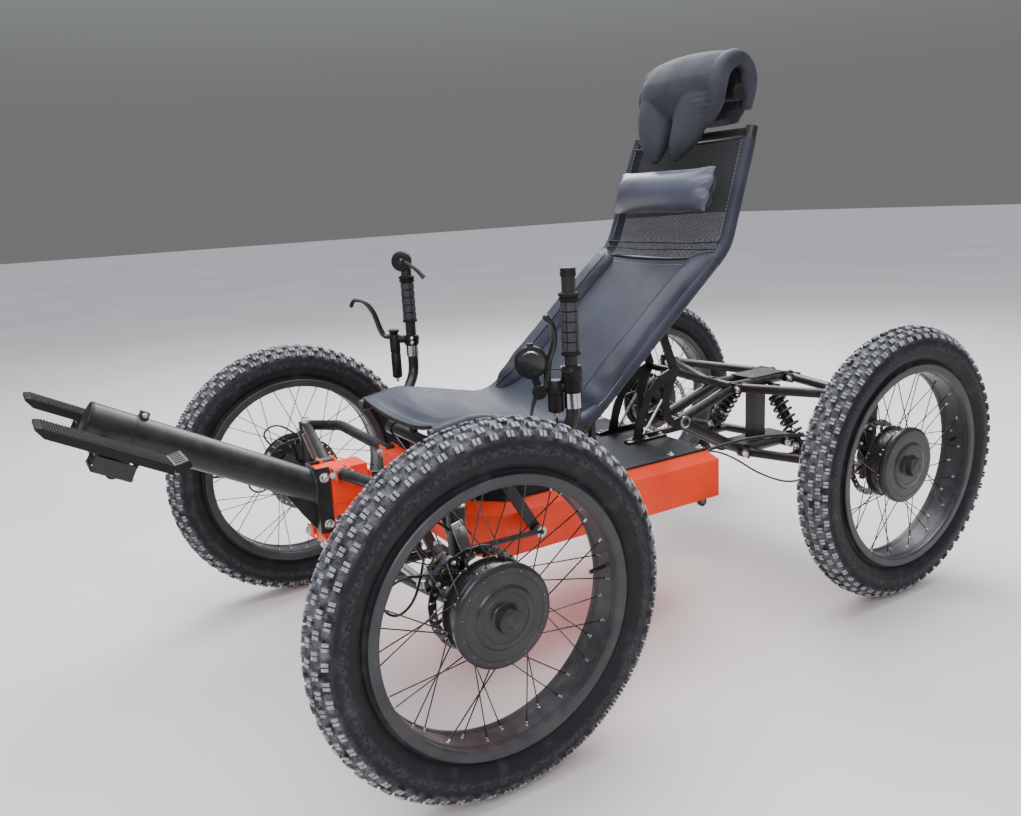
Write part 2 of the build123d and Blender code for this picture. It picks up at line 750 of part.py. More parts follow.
def knuckles():
    """Steering knuckles with axle, kingpin and steering arms, and the front calipers."""
    x, y = KINGPIN_X, FRONT_Y
    wheel_x = FRONT_TRACK / 2
    half = KINGPIN_EYE_HEIGHT / 2
    body = rod((x, y, FRONT_LOWER_Z + half + FIT), (x, y, FRONT_UPPER_Z - half - FIT), KINGPIN_BODY)
    body += rod((x, y, FRONT_LOWER_Z - half - 7), (x, y, FRONT_UPPER_Z + half + 7), KINGPIN_RADIUS)
    nut = 8
    for low in (FRONT_LOWER_Z - half - FIT - nut, FRONT_UPPER_Z + half + FIT):
        body += rod((x, y, low), (x, y, low + nut), 11)
    hub = 24
    body += block((x - 16, x + 34), (y - hub, y + hub), (TYRE_RADIUS - hub, TYRE_RADIUS + hub))
    body += rod((x, y, TYRE_RADIUS), (wheel_x + AXLE_END, y, TYRE_RADIUS), AXLE_RADIUS)
    plate = 9
    body += bar((x, y, STEER_ARM_Z), (x - STEER_ARM, y, STEER_ARM_Z), 20, plate, side=(0, 1, 0))
    body += rod((x - STEER_ARM, y, STEER_ARM_Z - DRAG_EYE_DROP - 10), (x - STEER_ARM, y, STEER_ARM_Z), STUD_RADIUS)
    body += bar((x, y, TIE_ARM_Z), (x, y - TIE_ARM, TIE_ARM_Z), 18, plate)
    body += rod((x, y - TIE_ARM, TIE_ARM_Z), (x, y - TIE_ARM, TIE_ARM_Z + TIE_ROD_LIFT + 10), STUD_RADIUS)
    disc_x = wheel_x - DISC_OFFSET
    body += bracket(x + 26, disc_x, y)
    save_sides("knuckle", body)
    save_sides("front_caliper", caliper(disc_x, y) - body)


def tie_rod():
    """Track rod between the two knuckles, ahead of the axle and above the knuckle arms."""
    y, z = FRONT_Y - TIE_ARM, TIE_ARM_Z + TIE_ROD_LIFT
    eye_radius, half = 13, 7
    inner = KINGPIN_X - eye_radius + 1
    body = rod((-inner, y, z), (inner, y, z), TIE_ROD_RADIUS)
    for x in (KINGPIN_X, -KINGPIN_X):
        body += rod((x, y, z - half), (x, y, z + half), eye_radius)
        body -= rod((x, y, z - 2 * half), (x, y, z + 2 * half), STUD_RADIUS + FIT)
    save("tie_rod", body)


# Steering sticks


def ball():
    """Ball joint at the foot of the left stick's drop arm, as (x, y, z)."""
    x = STICK_HUB_X + 5
    return x, STICK_PIVOT_Y + DROP_BACK, STICK_PIVOT_Z - DROP_DOWN


def sticks():
    """Side sticks on the ends of the cross tube, with drop arms to the drag links."""
    y, z = STICK_PIVOT_Y, STICK_PIVOT_Z
    hub_end = STICK_HUB_X + STICK_HUB_LENGTH
    x, foot_y, foot_z = ball()
    stick_y = STICK_Y
    elbow = (STICK_X, stick_y, STICK_ELBOW_Z)
    body = rod((STICK_HUB_X, y, z), (hub_end, y, z), STICK_HUB_RADIUS)
    body += bent([(hub_end - 8, y, z), elbow, (STICK_X, stick_y, STICK_TOP_Z)], 60, STICK_RADIUS)
    body += bar((x, y, z), (x, foot_y, foot_z), 10, 24)
    body += rod((x - 5, foot_y, foot_z), (x + 5, foot_y, foot_z), 12)
    body += rod((x, foot_y, foot_z), (x + 26, foot_y, foot_z), STUD_RADIUS)
    body -= rod((STICK_HUB_X - 20, y, z), (STICK_HUB_X + STICK_SOCKET, y, z), AXLE_RADIUS + FIT)
    save_sides("stick", body)
    grip_high = (STICK_X, stick_y, GRIP_BOTTOM_Z + GRIP_LENGTH)
    save_sides("grip", rod((STICK_X, stick_y, GRIP_BOTTOM_Z), grip_high, GRIP_RADIUS, STICK_RADIUS + FIT))


def chain(points, radius):
    """Round bars end to end through points."""
    return [rod(start, end, radius) for start, end in zip(points, points[1:])]


def control(body, pieces):
    """Join the pieces of a control to its collar and leave the post's bore open."""
    for piece in pieces:
        body += piece
    x, y = STICK_X, STICK_Y
    return body - rod((x, y, COLLAR_LOW_Z - 200), (x, y, COLLAR_LOW_Z + 200), STICK_RADIUS + FIT)


def controls():
    """Brake levers and collars on both posts, with the thumb throttle and the shifter."""
    x, y = STICK_X, STICK_Y
    collar = rod((x, y, COLLAR_LOW_Z), (x, y, COLLAR_LOW_Z + COLLAR_HEIGHT), COLLAR_RADIUS)

    def at(place):
        """A place from the tables as a point on the left stick."""
        return Vector(x, y, COLLAR_LOW_Z) + Vector(*place)

    def face_disc(place, radius, depth, outward=1):
        """Disc on edge that faces ahead and outward, or inward."""
        facing = Vector(outward * 0.86, -0.51, 0) * (depth / 2)
        return rod(at(place) - facing, at(place) + facing, radius)

    left = [
        rod(at((0, 0, 22)), at(LEFT_CYLINDER[1]), CYLINDER_RADIUS - 3),
        rod(at(LEFT_CYLINDER[0]), at(LEFT_CYLINDER[1]), CYLINDER_RADIUS),
        rod(at(LEFT_CYLINDER[1]), at(THROTTLE), CYLINDER_RADIUS - 6),
        face_disc(DISPLAY, DISPLAY_RADIUS, 16),
        face_disc(THROTTLE, THROTTLE_RADIUS, 22),
        bar(at(DISPLAY), at(THROTTLE), 14, 14),
    ]
    left += chain([at(place) for place in LEFT_LEVER], LEVER_RADIUS)
    left += chain([at(place) for place in THUMB_PADDLE], PADDLE_RADIUS)
    save("controls_left", control(collar, left))
    right = [
        rod(at((0, 0, 32)), at(RIGHT_LEVER[0]), CYLINDER_RADIUS - 3),
        rod(at(RIGHT_CYLINDER[0]), at(RIGHT_CYLINDER[1]), CYLINDER_RADIUS),
    ]
    right += chain([at(place) for place in RIGHT_LEVER], LEVER_RADIUS)
    save("controls_right", flip(control(collar, right)))
    shifter = face_disc(SHIFTER, SHIFTER_RADIUS, 34, outward=-1)
    for piece in chain([at(place) for place in SHIFTER_PADDLE], PADDLE_RADIUS):
        shifter += piece
    post = rod((x, y, GRIP_BOTTOM_Z), (x, y, STICK_TOP_Z + FIT), STICK_RADIUS + FIT)
    save("shifter", flip(shifter - post))


def drag_links():
    """Links from the drop arms to the knuckles; the front eye runs loose round its stud."""
    joint = ball()
    half = 6
    foot = (joint[0] + 16, joint[1], joint[2])
    front = (KINGPIN_X - STEER_ARM + DRAG_SHIFT[0], FRONT_Y + DRAG_SHIFT[1], STEER_ARM_Z - DRAG_EYE_DROP)
    direction = (Vector(*foot) - Vector(*front)).normalized()
    body = rod(Vector(*front) + direction * (DRAG_EYE - 2), foot, DRAG_RADIUS)
    body += rod((front[0], front[1], front[2] - half), (front[0], front[1], front[2] + half), DRAG_EYE)
    body += rod((foot[0] - half, foot[1], foot[2]), (foot[0] + half, foot[1], foot[2]), 2 * half)
    body -= rod((front[0], front[1], front[2] - 2 * half), (front[0], front[1], front[2] + 2 * half), DRAG_BORE)
    body -= rod((foot[0] - 2 * half, foot[1], foot[2]), (foot[0] + 2 * half, foot[1], foot[2]), STUD_RADIUS + FIT)
    save_sides("drag_link", body)


# Boom with the foot platforms


def in_boom(x, across, along_boom, size):
    """Box given by its middle in the boom's frame: sideways, upward and forward."""
    return BOOM * Pos(x, across, along_boom) * Box(*size)


def boom_tube(low, high, radius):
    """Round bar along the boom between two distances from its base."""
    return BOOM * Pos(0, 0, (low + high) / 2) * Cylinder(radius, high - low)


def boom():
    """Fixed boom tube on its bracket, and the extension that slides in it."""
    front = FRONT_Y - NOSE_AHEAD
    outer = NOSE_WIDTH / 2 + FIT
    bracket_low, bracket_high = FRONT_LOWER_PIVOT_Z + EYE_RADIUS + 3, FRONT_UPPER_Z + 12
    plate = 5
    web = front - FIT - plate
    gusset = [
        (web + 2, bracket_low), (web - 26, bracket_low + 40), (web - 70, BOOM_BASE_Z + 12), (web + 2, BOOM_BASE_Z),
    ]
    clamp = 16
    body = boom_tube(-40, BOOM_TUBE, BOOM_RADIUS) + profile(gusset, 0, 8)
    body += in_boom(0, BOOM_RADIUS + 4, BOOM_TUBE - clamp / 2 - 4, (22, 14, clamp))
    body -= block((-200, 200), (web + plate, 0), (0, 900))
    body += block((-outer - WALL, outer + WALL), (web, web + plate), (bracket_low, bracket_high))
    for low in (-outer - WALL, outer):
        body += block((low, low + WALL), (web + 1, front + NOSE_LENGTH - 4), (bracket_low, bracket_high))
    body -= boom_tube(40, BOOM_TUBE + 1, BOOM_RADIUS - BOOM_WALL)
    bolt = outer + WALL + 6
    for z in BRACKET_BOLTS:
        body += rod((-bolt, front + NOSE_BOLT, z), (bolt, front + NOSE_BOLT, z), PIN_RADIUS)
    save("boom_mount", body)

    slider = BOOM_RADIUS - BOOM_WALL - BOOM_FIT
    start, sleeve_end = BOOM_TUBE + FIT, BOOM_TUBE + BOOM_SLEEVE
    low = BOOM_TUBE - SLIDER_LENGTH
    body = boom_tube(start, sleeve_end, BOOM_RADIUS) + boom_tube(low, start + 5, slider)
    body -= boom_tube(low - 5, sleeve_end - WALL, slider - WALL)
    shell = BOOM * Pos(0, -SPINDLE_DROP, BOOM_TUBE + BOOM_SLEEVE / 2) * Rot(0, 90, 0)
    body += shell * Cylinder(SPINDLE_SHELL, SPINDLE_SHELL_LENGTH)
    body -= shell * Cylinder(SPINDLE_RADIUS + FIT, SPINDLE_SHELL_LENGTH + 20)
    save("boom_extension", body)


def foot_platforms():
    """Flat foot platforms on their pedals and the spindle that carries both."""
    spindle_at = BOOM_TUBE + BOOM_SLEEVE / 2
    tip = BOOM_TUBE + BOOM_SLEEVE + PLATFORM_AHEAD
    level = -PLATFORM_DROP - PLATFORM_THICKNESS / 2
    reach = PLATFORM_X + PLATFORM_WIDTH / 2 - 8
    body = BOOM * Pos(0, -SPINDLE_DROP, spindle_at) * Rot(0, 90, 0) * Cylinder(SPINDLE_RADIUS, 2 * reach)
    flat = PLATFORM_LENGTH - HEEL_LENGTH
    for x in (PLATFORM_X, -PLATFORM_X):
        body += in_boom(x, level, tip - flat / 2, (PLATFORM_WIDTH, PLATFORM_THICKNESS, flat))
        kink = BOOM * Pos(x, level, tip - flat) * Rot(HEEL_ANGLE, 0, 0)
        body += kink * Pos(0, 0, -HEEL_LENGTH / 2) * Box(PLATFORM_WIDTH, PLATFORM_THICKNESS - 4, HEEL_LENGTH)
        pedal_top = 0.5 - PLATFORM_DROP - PLATFORM_THICKNESS
        pedal_low = -SPINDLE_DROP - 10
        size = (PLATFORM_WIDTH - 16, pedal_top - pedal_low, PEDAL_LENGTH)
        body += in_boom(x, (pedal_top + pedal_low) / 2, spindle_at, size)
    save("foot_platforms", body)


# Seat frame, supports and padding


def side_tube(places, radius=SEAT_TUBE_RADIUS):
    """Left side tube through its named half widths and (y, z) places."""
    return bent([(HALF_WIDTH[name], *place) for name, place in places], SEAT_BEND, radius)


def pan_tube(radius=SEAT_TUBE_RADIUS):
    """Left tube of the seat pan from the hip to the front edge."""
    return side_tube((("hip", HIP), ("knee", KNEE), ("front", LIP)), radius)


def back_tube(radius=SEAT_TUBE_RADIUS):
    """Left tube of the seat back from the hip to the top."""
    return side_tube((("hip", HIP), ("kink", KINK), ("top", TOP)), radius)


def seat_tubes():
    """Side tubes of the pan and of the back, which butt at the hip."""
    lean = radians((BACK_ANGLE - PAN_ANGLE) / 2)
    side = 3 * BACK_LENGTH
    cutter = Plane(origin=(0, *HIP), x_dir=(1, 0, 0), z_dir=(0, cos(lean), sin(lean)))
    joint = Pos(HALF_WIDTH["hip"], *HIP) * Sphere(SEAT_TUBE_RADIUS + 2)
    ahead = cutter * Pos(0, 0, -side / 2) * Box(side, side, side)
    behind = cutter * Pos(0, 0, FIT + side / 2) * Box(side, side, side)
    save("seat_pan_tubes", both((pan_tube() + joint) & ahead))
    save("seat_back_tubes", both((back_tube() + joint) & behind))


def width_at(distance):
    """Half width of the seat at a distance along the back from the hip."""
    return HALF_WIDTH["hip"] + (HALF_WIDTH["kink"] - HALF_WIDTH["hip"]) * distance / BACK_LENGTH


def behind_back(distance, depth):
    """Point behind the line of the back at a distance from the hip, as (y, z)."""
    y, z = along(HIP, BACK_ANGLE, distance)
    return y + depth * sin(radians(BACK_ANGLE)), z - depth * cos(radians(BACK_ANGLE))


def bowed_tube(distance, radius):
    """Cross tube of the back that bows rearward between the side tubes, clear of the padding."""
    end = width_at(distance) - 2
    y, z = along(HIP, BACK_ANGLE, distance)
    back_y, back_z = behind_back(distance, BOW_DEPTH)
    inner = end - BOW_RUN
    points = [(-end, y, z), (-inner, back_y, back_z), (inner, back_y, back_z), (end, y, z)]
    return bent(points, 30, radius)


def head_stem(radius):
    """Stem from the top cross tube up to the headrest bar."""
    top = along(KINK, HEAD_ANGLE, HEAD_LENGTH - 12)
    return rod((0, *top), (0, *HEAD_BAR), radius)


def hip_legs(radius):
    """Legs under the hip cross tube, down to the deck."""
    share = (width_at(HIP_CROSS_ALONG) - HIP_LEG_X) / BOW_RUN
    y, z = behind_back(HIP_CROSS_ALONG, BOW_DEPTH * share)
    x = HIP_LEG_X
    left = rod((x, y, DECK_TOP), (x, y, z - 6), radius)
    left += block((x - 22, x + 22), (y - 20, y + 20), (DECK_TOP, DECK_TOP + 5))
    return both(left)


def seat_crosses():
    """Cross tubes of the seat at the hip, the back and the top, with the hip legs and the headrest bar."""
    tube = CROSS_TUBE_RADIUS
    top = along(KINK, HEAD_ANGLE, HEAD_LENGTH - 12)
    half = HALF_WIDTH["top"]
    body = bowed_tube(HIP_CROSS_ALONG, tube) + bowed_tube(STRUT_ALONG, tube)
    body += rod((-half, *top), (half, *top), tube) + head_stem(tube - 1)
    body += rod((-HEAD_BAR_HALF, *HEAD_BAR), (HEAD_BAR_HALF, *HEAD_BAR), HEAD_BAR_RADIUS)
    body += hip_legs(HIP_LEG_RADIUS)
    for sign in (1, -1):
        for side in (pan_tube(SEAT_TUBE_RADIUS + FIT), back_tube(SEAT_TUBE_RADIUS + FIT)):
            body -= side if sign > 0 else flip(side)
    save("seat_cross_tubes", largest(body, 3))


def largest(shape, count):
    """The biggest solids of a shape, without the offcuts of a trim."""
    solids = sorted(shape.solids(), key=lambda solid: solid.volume, reverse=True)
    return Compound(children=solids[:count])


def knee_legs(radius):
    """Struts from the cross tube that carries the sticks out to the pan's side tubes."""
    y, z = STICK_PIVOT_Y, STICK_PIVOT_Z
    seat_z = KNEE[1] - (y - KNEE[0]) * tan(radians(PAN_ANGLE))
    return both(rod((LEG_X, y, z), (HALF_WIDTH["knee"], y, seat_z), radius))


def seat_supports():
    """Front legs of the seat, welded to the cross tube that carries the sticks."""
    y, z = STICK_PIVOT_Y, STICK_PIVOT_Z
    end = STICK_HUB_X - 1
    axle = STICK_HUB_X + STICK_SOCKET - FIT
    body = rod((-end, y, z), (end, y, z), 16) + rod((-axle, y, z), (axle, y, z), AXLE_RADIUS)
    half = 12
    body += knee_legs(KNEE_LEG_RADIUS)
    for sign in (1, -1):
        x = sign * LEG_X
        body += block((x - half, x + half), (y - half, y + half), (DECK_TOP, z))
        body += block((x - 20, x + 20), (y - half, y + 22), (DECK_TOP, DECK_TOP + 5))
    grown = pan_tube(SEAT_TUBE_RADIUS + FIT)
    save("seat_supports", largest(body - grown - flip(grown), 1))


def seat_plates():
    """Arched plates on the deck that carry the seat strut and the rear frame's pivot."""
    rear, base = CASE_REAR, DECK_TOP
    # Outline and window as (y from the case's rear edge, z above the deck)
    outline = [
        (-148, 0), (40, 0), (66, 6), (76, 22), (66, 36), (40, 38), (22, 34), (8, 52), (4, 90), (26, 140), (44, 166),
        (38, 180), (20, 180), (-24, 164), (-66, 130), (-100, 76), (-118, 12), (-148, 8),
    ]
    window = [(-88, 14), (-84, 42), (-62, 98), (-34, 128), (-8, 138), (-20, 100), (-16, 56), (4, 22), (20, 14)]
    plate = profile([(rear + y, base + z) for y, z in outline], PLATE_X, PLATE_THICKNESS)
    plate -= profile([(rear + y, base + z) for y, z in window], PLATE_X, PLATE_THICKNESS * 3)
    low = PLATE_X - PLATE_THICKNESS / 2
    plate += block((low, low + 22), (rear - 148, rear - DECK_INSET), (base, base + 5))
    pivot = (rear + REAR_PIVOT_BEHIND, REAR_PIVOT_Z)
    plate -= rod((0, *pivot), (2 * PLATE_X, *pivot), PIVOT_BOLT + FIT)
    top = Vector(0, rear + 28, base + 172)
    seat = Vector(0, *behind_back(STRUT_ALONG, BOW_DEPTH))
    foot = seat + (top - seat).normalized() * (CROSS_TUBE_RADIUS + FIT)
    x = low - PLATE_THICKNESS / 2
    strut = bar((x, foot.Y, foot.Z), (x, top.Y, top.Z), PLATE_THICKNESS, 26)
    save("seat_plates", both(plate + strut))


def slab(rows, thickness, half_low, half_high):
    """Padded panel through rows of (y, z), of one thickness, tapering in width along the rows."""
    upper = [Vector(0, y, z) for y, z in rows]
    lower = []
    for index, point in enumerate(upper):
        run = (upper[min(index + 1, len(upper) - 1)] - upper[max(index - 1, 0)]).normalized()
        lower.append(point + Vector(0, run.Z, -run.Y) * thickness)
    outline = [(p.Y, p.Z) for p in upper + lower[::-1]]
    if half_low == half_high:
        return profile(outline, 0, 2 * half_low)
    body = profile(outline, 0, 2 * max(half_low, half_high) + 40)
    start, end = upper[0], upper[-1]
    run = (end - start).normalized()
    normal = Vector(0, -run.Z, run.Y)
    length, margin, reach = (end - start).length, 40, 300
    slope = (half_high - half_low) / length
    low, high = half_low - slope * margin, half_high + slope * margin
    trim = Polygon((low, -margin), (high, length + margin), (-high, length + margin), (-low, -margin), align=None)
    face = Plane(origin=start - normal * reach, x_dir=(1, 0, 0), z_dir=normal)
    return body & extrude(face * trim, amount=2 * reach, dir=normal)


def seat_padding():
    """Sling pan, padded back, mesh head panel, bolsters, headrest and roll pillow."""
    inner = SEAT_TUBE_RADIUS + 2 * FIT
    width = HALF_WIDTH
    front = along(KNEE, -LIP_ANGLE, 6 - LIP_LENGTH)
    hip = along(HIP, -PAN_ANGLE, -40)
    middle = along(HIP, -PAN_ANGLE, -150)
    rows = [front, KNEE, (middle[0], middle[1] - PAN_SAG), (hip[0], hip[1] - 4)]
    near_hip = width["hip"] - (width["hip"] - width["knee"]) * 40 / PAN_LENGTH
    pan = slab(rows, PAN_THICKNESS, width["front"] - inner, near_hip - inner)
    save("seat_pan", pan - knee_legs(KNEE_LEG_RADIUS + 2 * FIT))
    ends = (60, BACK_LENGTH - 20)
    rows = [behind_back(at, sag) for at, sag in zip((ends[0], 220, 400, ends[1]), (0, BACK_SAG, BACK_SAG, 0))]
    back_half = bolster_edge() - BOLSTER_WIDTH - FIT
    save("seat_back", slab(rows, BACK_THICKNESS, back_half, back_half))
    ends = (14, HEAD_LENGTH - 40)
    rows = [along(KINK, HEAD_ANGLE, at) for at in ends]
    taper = (width["kink"] - width["top"]) / HEAD_LENGTH
    half_low, half_high = (width["kink"] - taper * at - inner for at in ends)
    save("head_panel", slab(rows, 5, half_low, half_high))
    pad = bolster()
    for distance in (HIP_CROSS_ALONG, STRUT_ALONG):
        pad -= bowed_tube(distance, CROSS_TUBE_RADIUS + FIT)
    save("seat_bolsters", both(largest(pad, 1)))
    headrest()


def bolster_edge():
    """Outer edge of a bolster from the middle of the seat."""
    return width_at(BACK_LENGTH / 2) + BOLSTER_OVERHANG


def bolster():
    """Padded wing along the left side tube, notched where it lies on the tube."""
    start = along(HIP, BACK_ANGLE, 34)
    end = along(HIP, BACK_ANGLE, BACK_LENGTH - 24)
    run = Vector(0, end[0] - start[0], end[1] - start[1])
    face = Plane(origin=(0, *start), x_dir=(1, 0, 0), z_dir=run)
    middle = bolster_edge() - BOLSTER_WIDTH / 2
    section = Pos(middle, BOLSTER_LIFT) * RectangleRounded(BOLSTER_WIDTH, BOLSTER_THICKNESS, 18)
    pad = extrude(face * section, amount=run.length, dir=run.normalized())
    pad -= rod((HALF_WIDTH["hip"], *HIP), (HALF_WIDTH["kink"], *KINK), SEAT_TUBE_RADIUS + FIT)
    return pad - bowed_tube(HIP_CROSS_ALONG, CROSS_TUBE_RADIUS + 2 * FIT) - hip_legs(HIP_LEG_RADIUS + 2 * FIT)


def headrest():
    """Folded head pillow over the bar, and the roll pillow on the head panel."""
    bar_y, bar_z = HEAD_BAR
    hood = Pos(0, bar_y - 4, bar_z + 68) * Box(200, 90, 56)
    pillow = fillet(hood.edges(), 24)
    for sign in (1, -1):
        wing = Pos(sign * WING_X, bar_y - 62, bar_z - 30) * Rot(-18, 0, sign * -8) * Box(*WING_SIZE)
        pillow += fillet(wing.edges(), 22)
    pillow -= rod((-200, bar_y, bar_z), (200, bar_y, bar_z), HEAD_BAR_RADIUS + FIT)
    top = along(KINK, HEAD_ANGLE, HEAD_LENGTH - 12)
    pillow -= rod((-200, *top), (200, *top), CROSS_TUBE_RADIUS + FIT)
    save("headrest", pillow - head_stem(CROSS_TUBE_RADIUS - 1 + FIT))
    seat_y, seat_z = along(KINK, HEAD_ANGLE, 128)
    lift = ROLL_RADIUS + FIT
    y = seat_y - lift * sin(radians(HEAD_ANGLE))
    z = seat_z + lift * cos(radians(HEAD_ANGLE))
    roll = Rot(0, 90, 0) * Cylinder(ROLL_RADIUS, ROLL_LENGTH)
    save("roll_pillow", Pos(0, y, z) * fillet(roll.edges(), ROLL_RADIUS / 2))


# Rear frame and suspension


def rear_frame():
    """Rear truss: side tubes from the pivots on the plates, rails, stays, plates and post."""
    pivot = (CASE_REAR + REAR_PIVOT_BEHIND, REAR_PIVOT_Z)
    upper_front = REAR_Y + REAR_UPPER_SPREAD[0]
    upper_rear = REAR_Y + REAR_UPPER_SPREAD[1] + 26
    lower_front = REAR_Y + REAR_LOWER_SPREAD[0]
    lower_rear = REAR_Y + REAR_LOWER_SPREAD[1] + 26
    stay_top = (CASE_REAR + 26, DECK_TOP + 168)
    x = RAIL_X
    side = rod((x, *pivot), (x, upper_front, REAR_UPPER_Z), TRUSS_RADIUS)
    side += rod((x, *pivot), (x, lower_front, REAR_LOWER_Z), RAIL_RADIUS)
    side += rod((x, upper_front - 12, REAR_UPPER_Z), (x, upper_rear, REAR_UPPER_Z), RAIL_RADIUS)
    side += rod((x, lower_front - 12, REAR_LOWER_Z), (x, lower_rear, REAR_LOWER_Z), RAIL_RADIUS)
    side += rod((x, *stay_top), (x, upper_front - 12, REAR_UPPER_Z), STAY_RADIUS)
    for spread, z in ((REAR_UPPER_SPREAD, REAR_UPPER_Z), (REAR_LOWER_SPREAD, REAR_LOWER_Z)):
        for offset in spread:
            side += clevis(x, (REAR_PIVOT_X, REAR_Y + offset, z))
    side += clevis(x, (REAR_SHOCK_TOP[0], REAR_Y, REAR_SHOCK_TOP[1]))
    body = both(side)
    reach = PLATE_X + PLATE_THICKNESS / 2 + 6
    brace = PLATE_X - PLATE_THICKNESS * 1.5 - FIT
    body += rod((-reach, *pivot), (reach, *pivot), PIVOT_BOLT)
    body += rod((-brace, *stay_top), (brace, *stay_top), STAY_RADIUS)
    for y, z in ((upper_front, REAR_UPPER_Z), (lower_front, REAR_LOWER_Z)):
        body += rod((-x, y, z), (x, y, z), 12)
    half = POST_SIZE / 2
    low, high = REAR_LOWER_Z + RAIL_RADIUS - 3, REAR_UPPER_Z + RAIL_RADIUS - 3
    body += block((-x - 8, x + 8), (lower_front, lower_rear - 6), (low, low + 6))
    body += block((-half, half), (REAR_Y - half, REAR_Y + half), (low, high))
    body += block((-x - 8, x + 8), (REAR_Y - 60, REAR_Y + 80), (high, high + 5))
    save("rear_frame", body)


def rear_arms():
    """Upper and lower rear wishbones."""
    # Wishbone rows: name, pivot offsets, pivot Z, apex Z, spring foot X or none
    rows = (
        ("rear_upper_arms", REAR_UPPER_SPREAD, REAR_UPPER_Z, REAR_UPPER_APEX_Z, None),
        ("rear_lower_arms", REAR_LOWER_SPREAD, REAR_LOWER_Z, REAR_LOWER_APEX_Z, REAR_SHOCK_FOOT_X),
    )
    for name, spread, inner_z, apex_z, foot_x in rows:
        apex = (REAR_APEX_X, REAR_Y, apex_z)
        inner = [(REAR_PIVOT_X, REAR_Y + offset, inner_z) for offset in spread]
        low, high = eye(apex)
        arm = arm_leg(inner[0], apex) + arm_leg(inner[1], apex) + rod(low, high, EYE_RADIUS)
        if foot_x:
            arm += spring_foot(inner, apex, foot_x)
        arm = fitted(arm, inner, RAIL_X)
        save(name, both(fitted(arm, [apex], UPRIGHT_X)))


def rear_uprights():
    """Uprights that carry the rear axles, and the rear calipers."""
    wheel_x = REAR_TRACK / 2
    x = UPRIGHT_X
    low, high = REAR_LOWER_APEX_Z - 20, REAR_UPPER_APEX_Z + 20
    body = block((x - 2, x + 10), (REAR_Y - 24, REAR_Y + 24), (low, high))
    body += rod((x - 10, REAR_Y, TYRE_RADIUS), (x + 12, REAR_Y, TYRE_RADIUS), 26)
    body += rod((x, REAR_Y, TYRE_RADIUS), (wheel_x + AXLE_END, REAR_Y, TYRE_RADIUS), AXLE_RADIUS)
    for z in (REAR_LOWER_APEX_Z, REAR_UPPER_APEX_Z):
        body += clevis(x, (REAR_APEX_X, REAR_Y, z))
    disc_x = wheel_x - DISC_OFFSET
    body += bracket(x + 5, disc_x, REAR_Y)
    save("rear_uprights", both(body))
    save("rear_calipers", both(caliper(disc_x, REAR_Y) - body))


wheels()
battery()
casters()
front_frame()
front_arms()
shocks()
knuckles()
tie_rod()
sticks()
controls()
drag_links()
boom()
foot_platforms()
seat_tubes()
seat_crosses()
seat_supports()
seat_plates()
seat_padding()
rear_frame()
rear_arms()
rear_uprights()
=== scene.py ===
import logging
from collections.abc import Callable, Sequence
from dataclasses import dataclass
from enum import Enum
from math import atan, cos, pi, radians, sin, tan

import bpy
from mathutils import Matrix, Vector, noise
from mathutils.bvhtree import BVHTree


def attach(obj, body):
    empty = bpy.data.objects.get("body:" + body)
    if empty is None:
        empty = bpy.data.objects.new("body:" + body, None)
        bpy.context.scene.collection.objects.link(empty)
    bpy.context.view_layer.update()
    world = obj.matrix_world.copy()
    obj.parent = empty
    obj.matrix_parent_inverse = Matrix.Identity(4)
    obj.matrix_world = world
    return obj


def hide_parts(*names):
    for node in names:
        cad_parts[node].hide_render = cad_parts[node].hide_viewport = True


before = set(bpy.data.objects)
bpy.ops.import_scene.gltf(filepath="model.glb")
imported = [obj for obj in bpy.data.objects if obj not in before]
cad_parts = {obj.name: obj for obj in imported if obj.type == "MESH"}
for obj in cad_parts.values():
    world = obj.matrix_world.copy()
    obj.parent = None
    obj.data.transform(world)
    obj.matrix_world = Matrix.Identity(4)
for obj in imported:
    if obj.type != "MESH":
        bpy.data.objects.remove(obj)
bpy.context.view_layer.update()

LOG = logging.getLogger("quadricycle")
Colour = tuple[float, float, float]
Point = Sequence[float]
SIDES = {"left": 1, "right": -1}

FRONT_Y = -0.4673935
REAR_Y = 0.7596065
AXLE_Z = 0.35
TRACKS = {"front": 1.108, "rear": 0.958}
CASE_FRONT = -0.3228935
CASE_REAR = 0.3711065
BOOM_BASE = Vector((0, -0.5923935, 0.464))
BOOM_RUN = Vector((0, -0.879649, 0.475624))
BOOM_UP = Vector((0, 0.475624, 0.879649))
HIP = (-0.02389, 0.535)
KNEE = (-0.29379, 0.59731)
LIP = (-0.39849, 0.58073)
KINK = (0.41421, 0.9105)
TOP = (0.51253, 1.18969)
HEAD_BAR = (0.55253, 1.28069)
BACK_SLOPE = radians(40.6)
HEAD_SLOPE = radians(70.6)
COLLAR = Vector((0.376, CASE_FRONT + 0.159, 0.668))
BOOM = Matrix.Translation(BOOM_BASE) @ Matrix(((1, 0, 0), BOOM_UP, BOOM_RUN)).transposed().to_4x4()
# Turns a flat outline in X and Y upright: X to Y, Y to Z and its thickness to X
UPRIGHT = Matrix(((0, 0, 1, 0), (1, 0, 0, 0), (0, 1, 0, 0), (0, 0, 0, 1)))


# Shader arithmetic


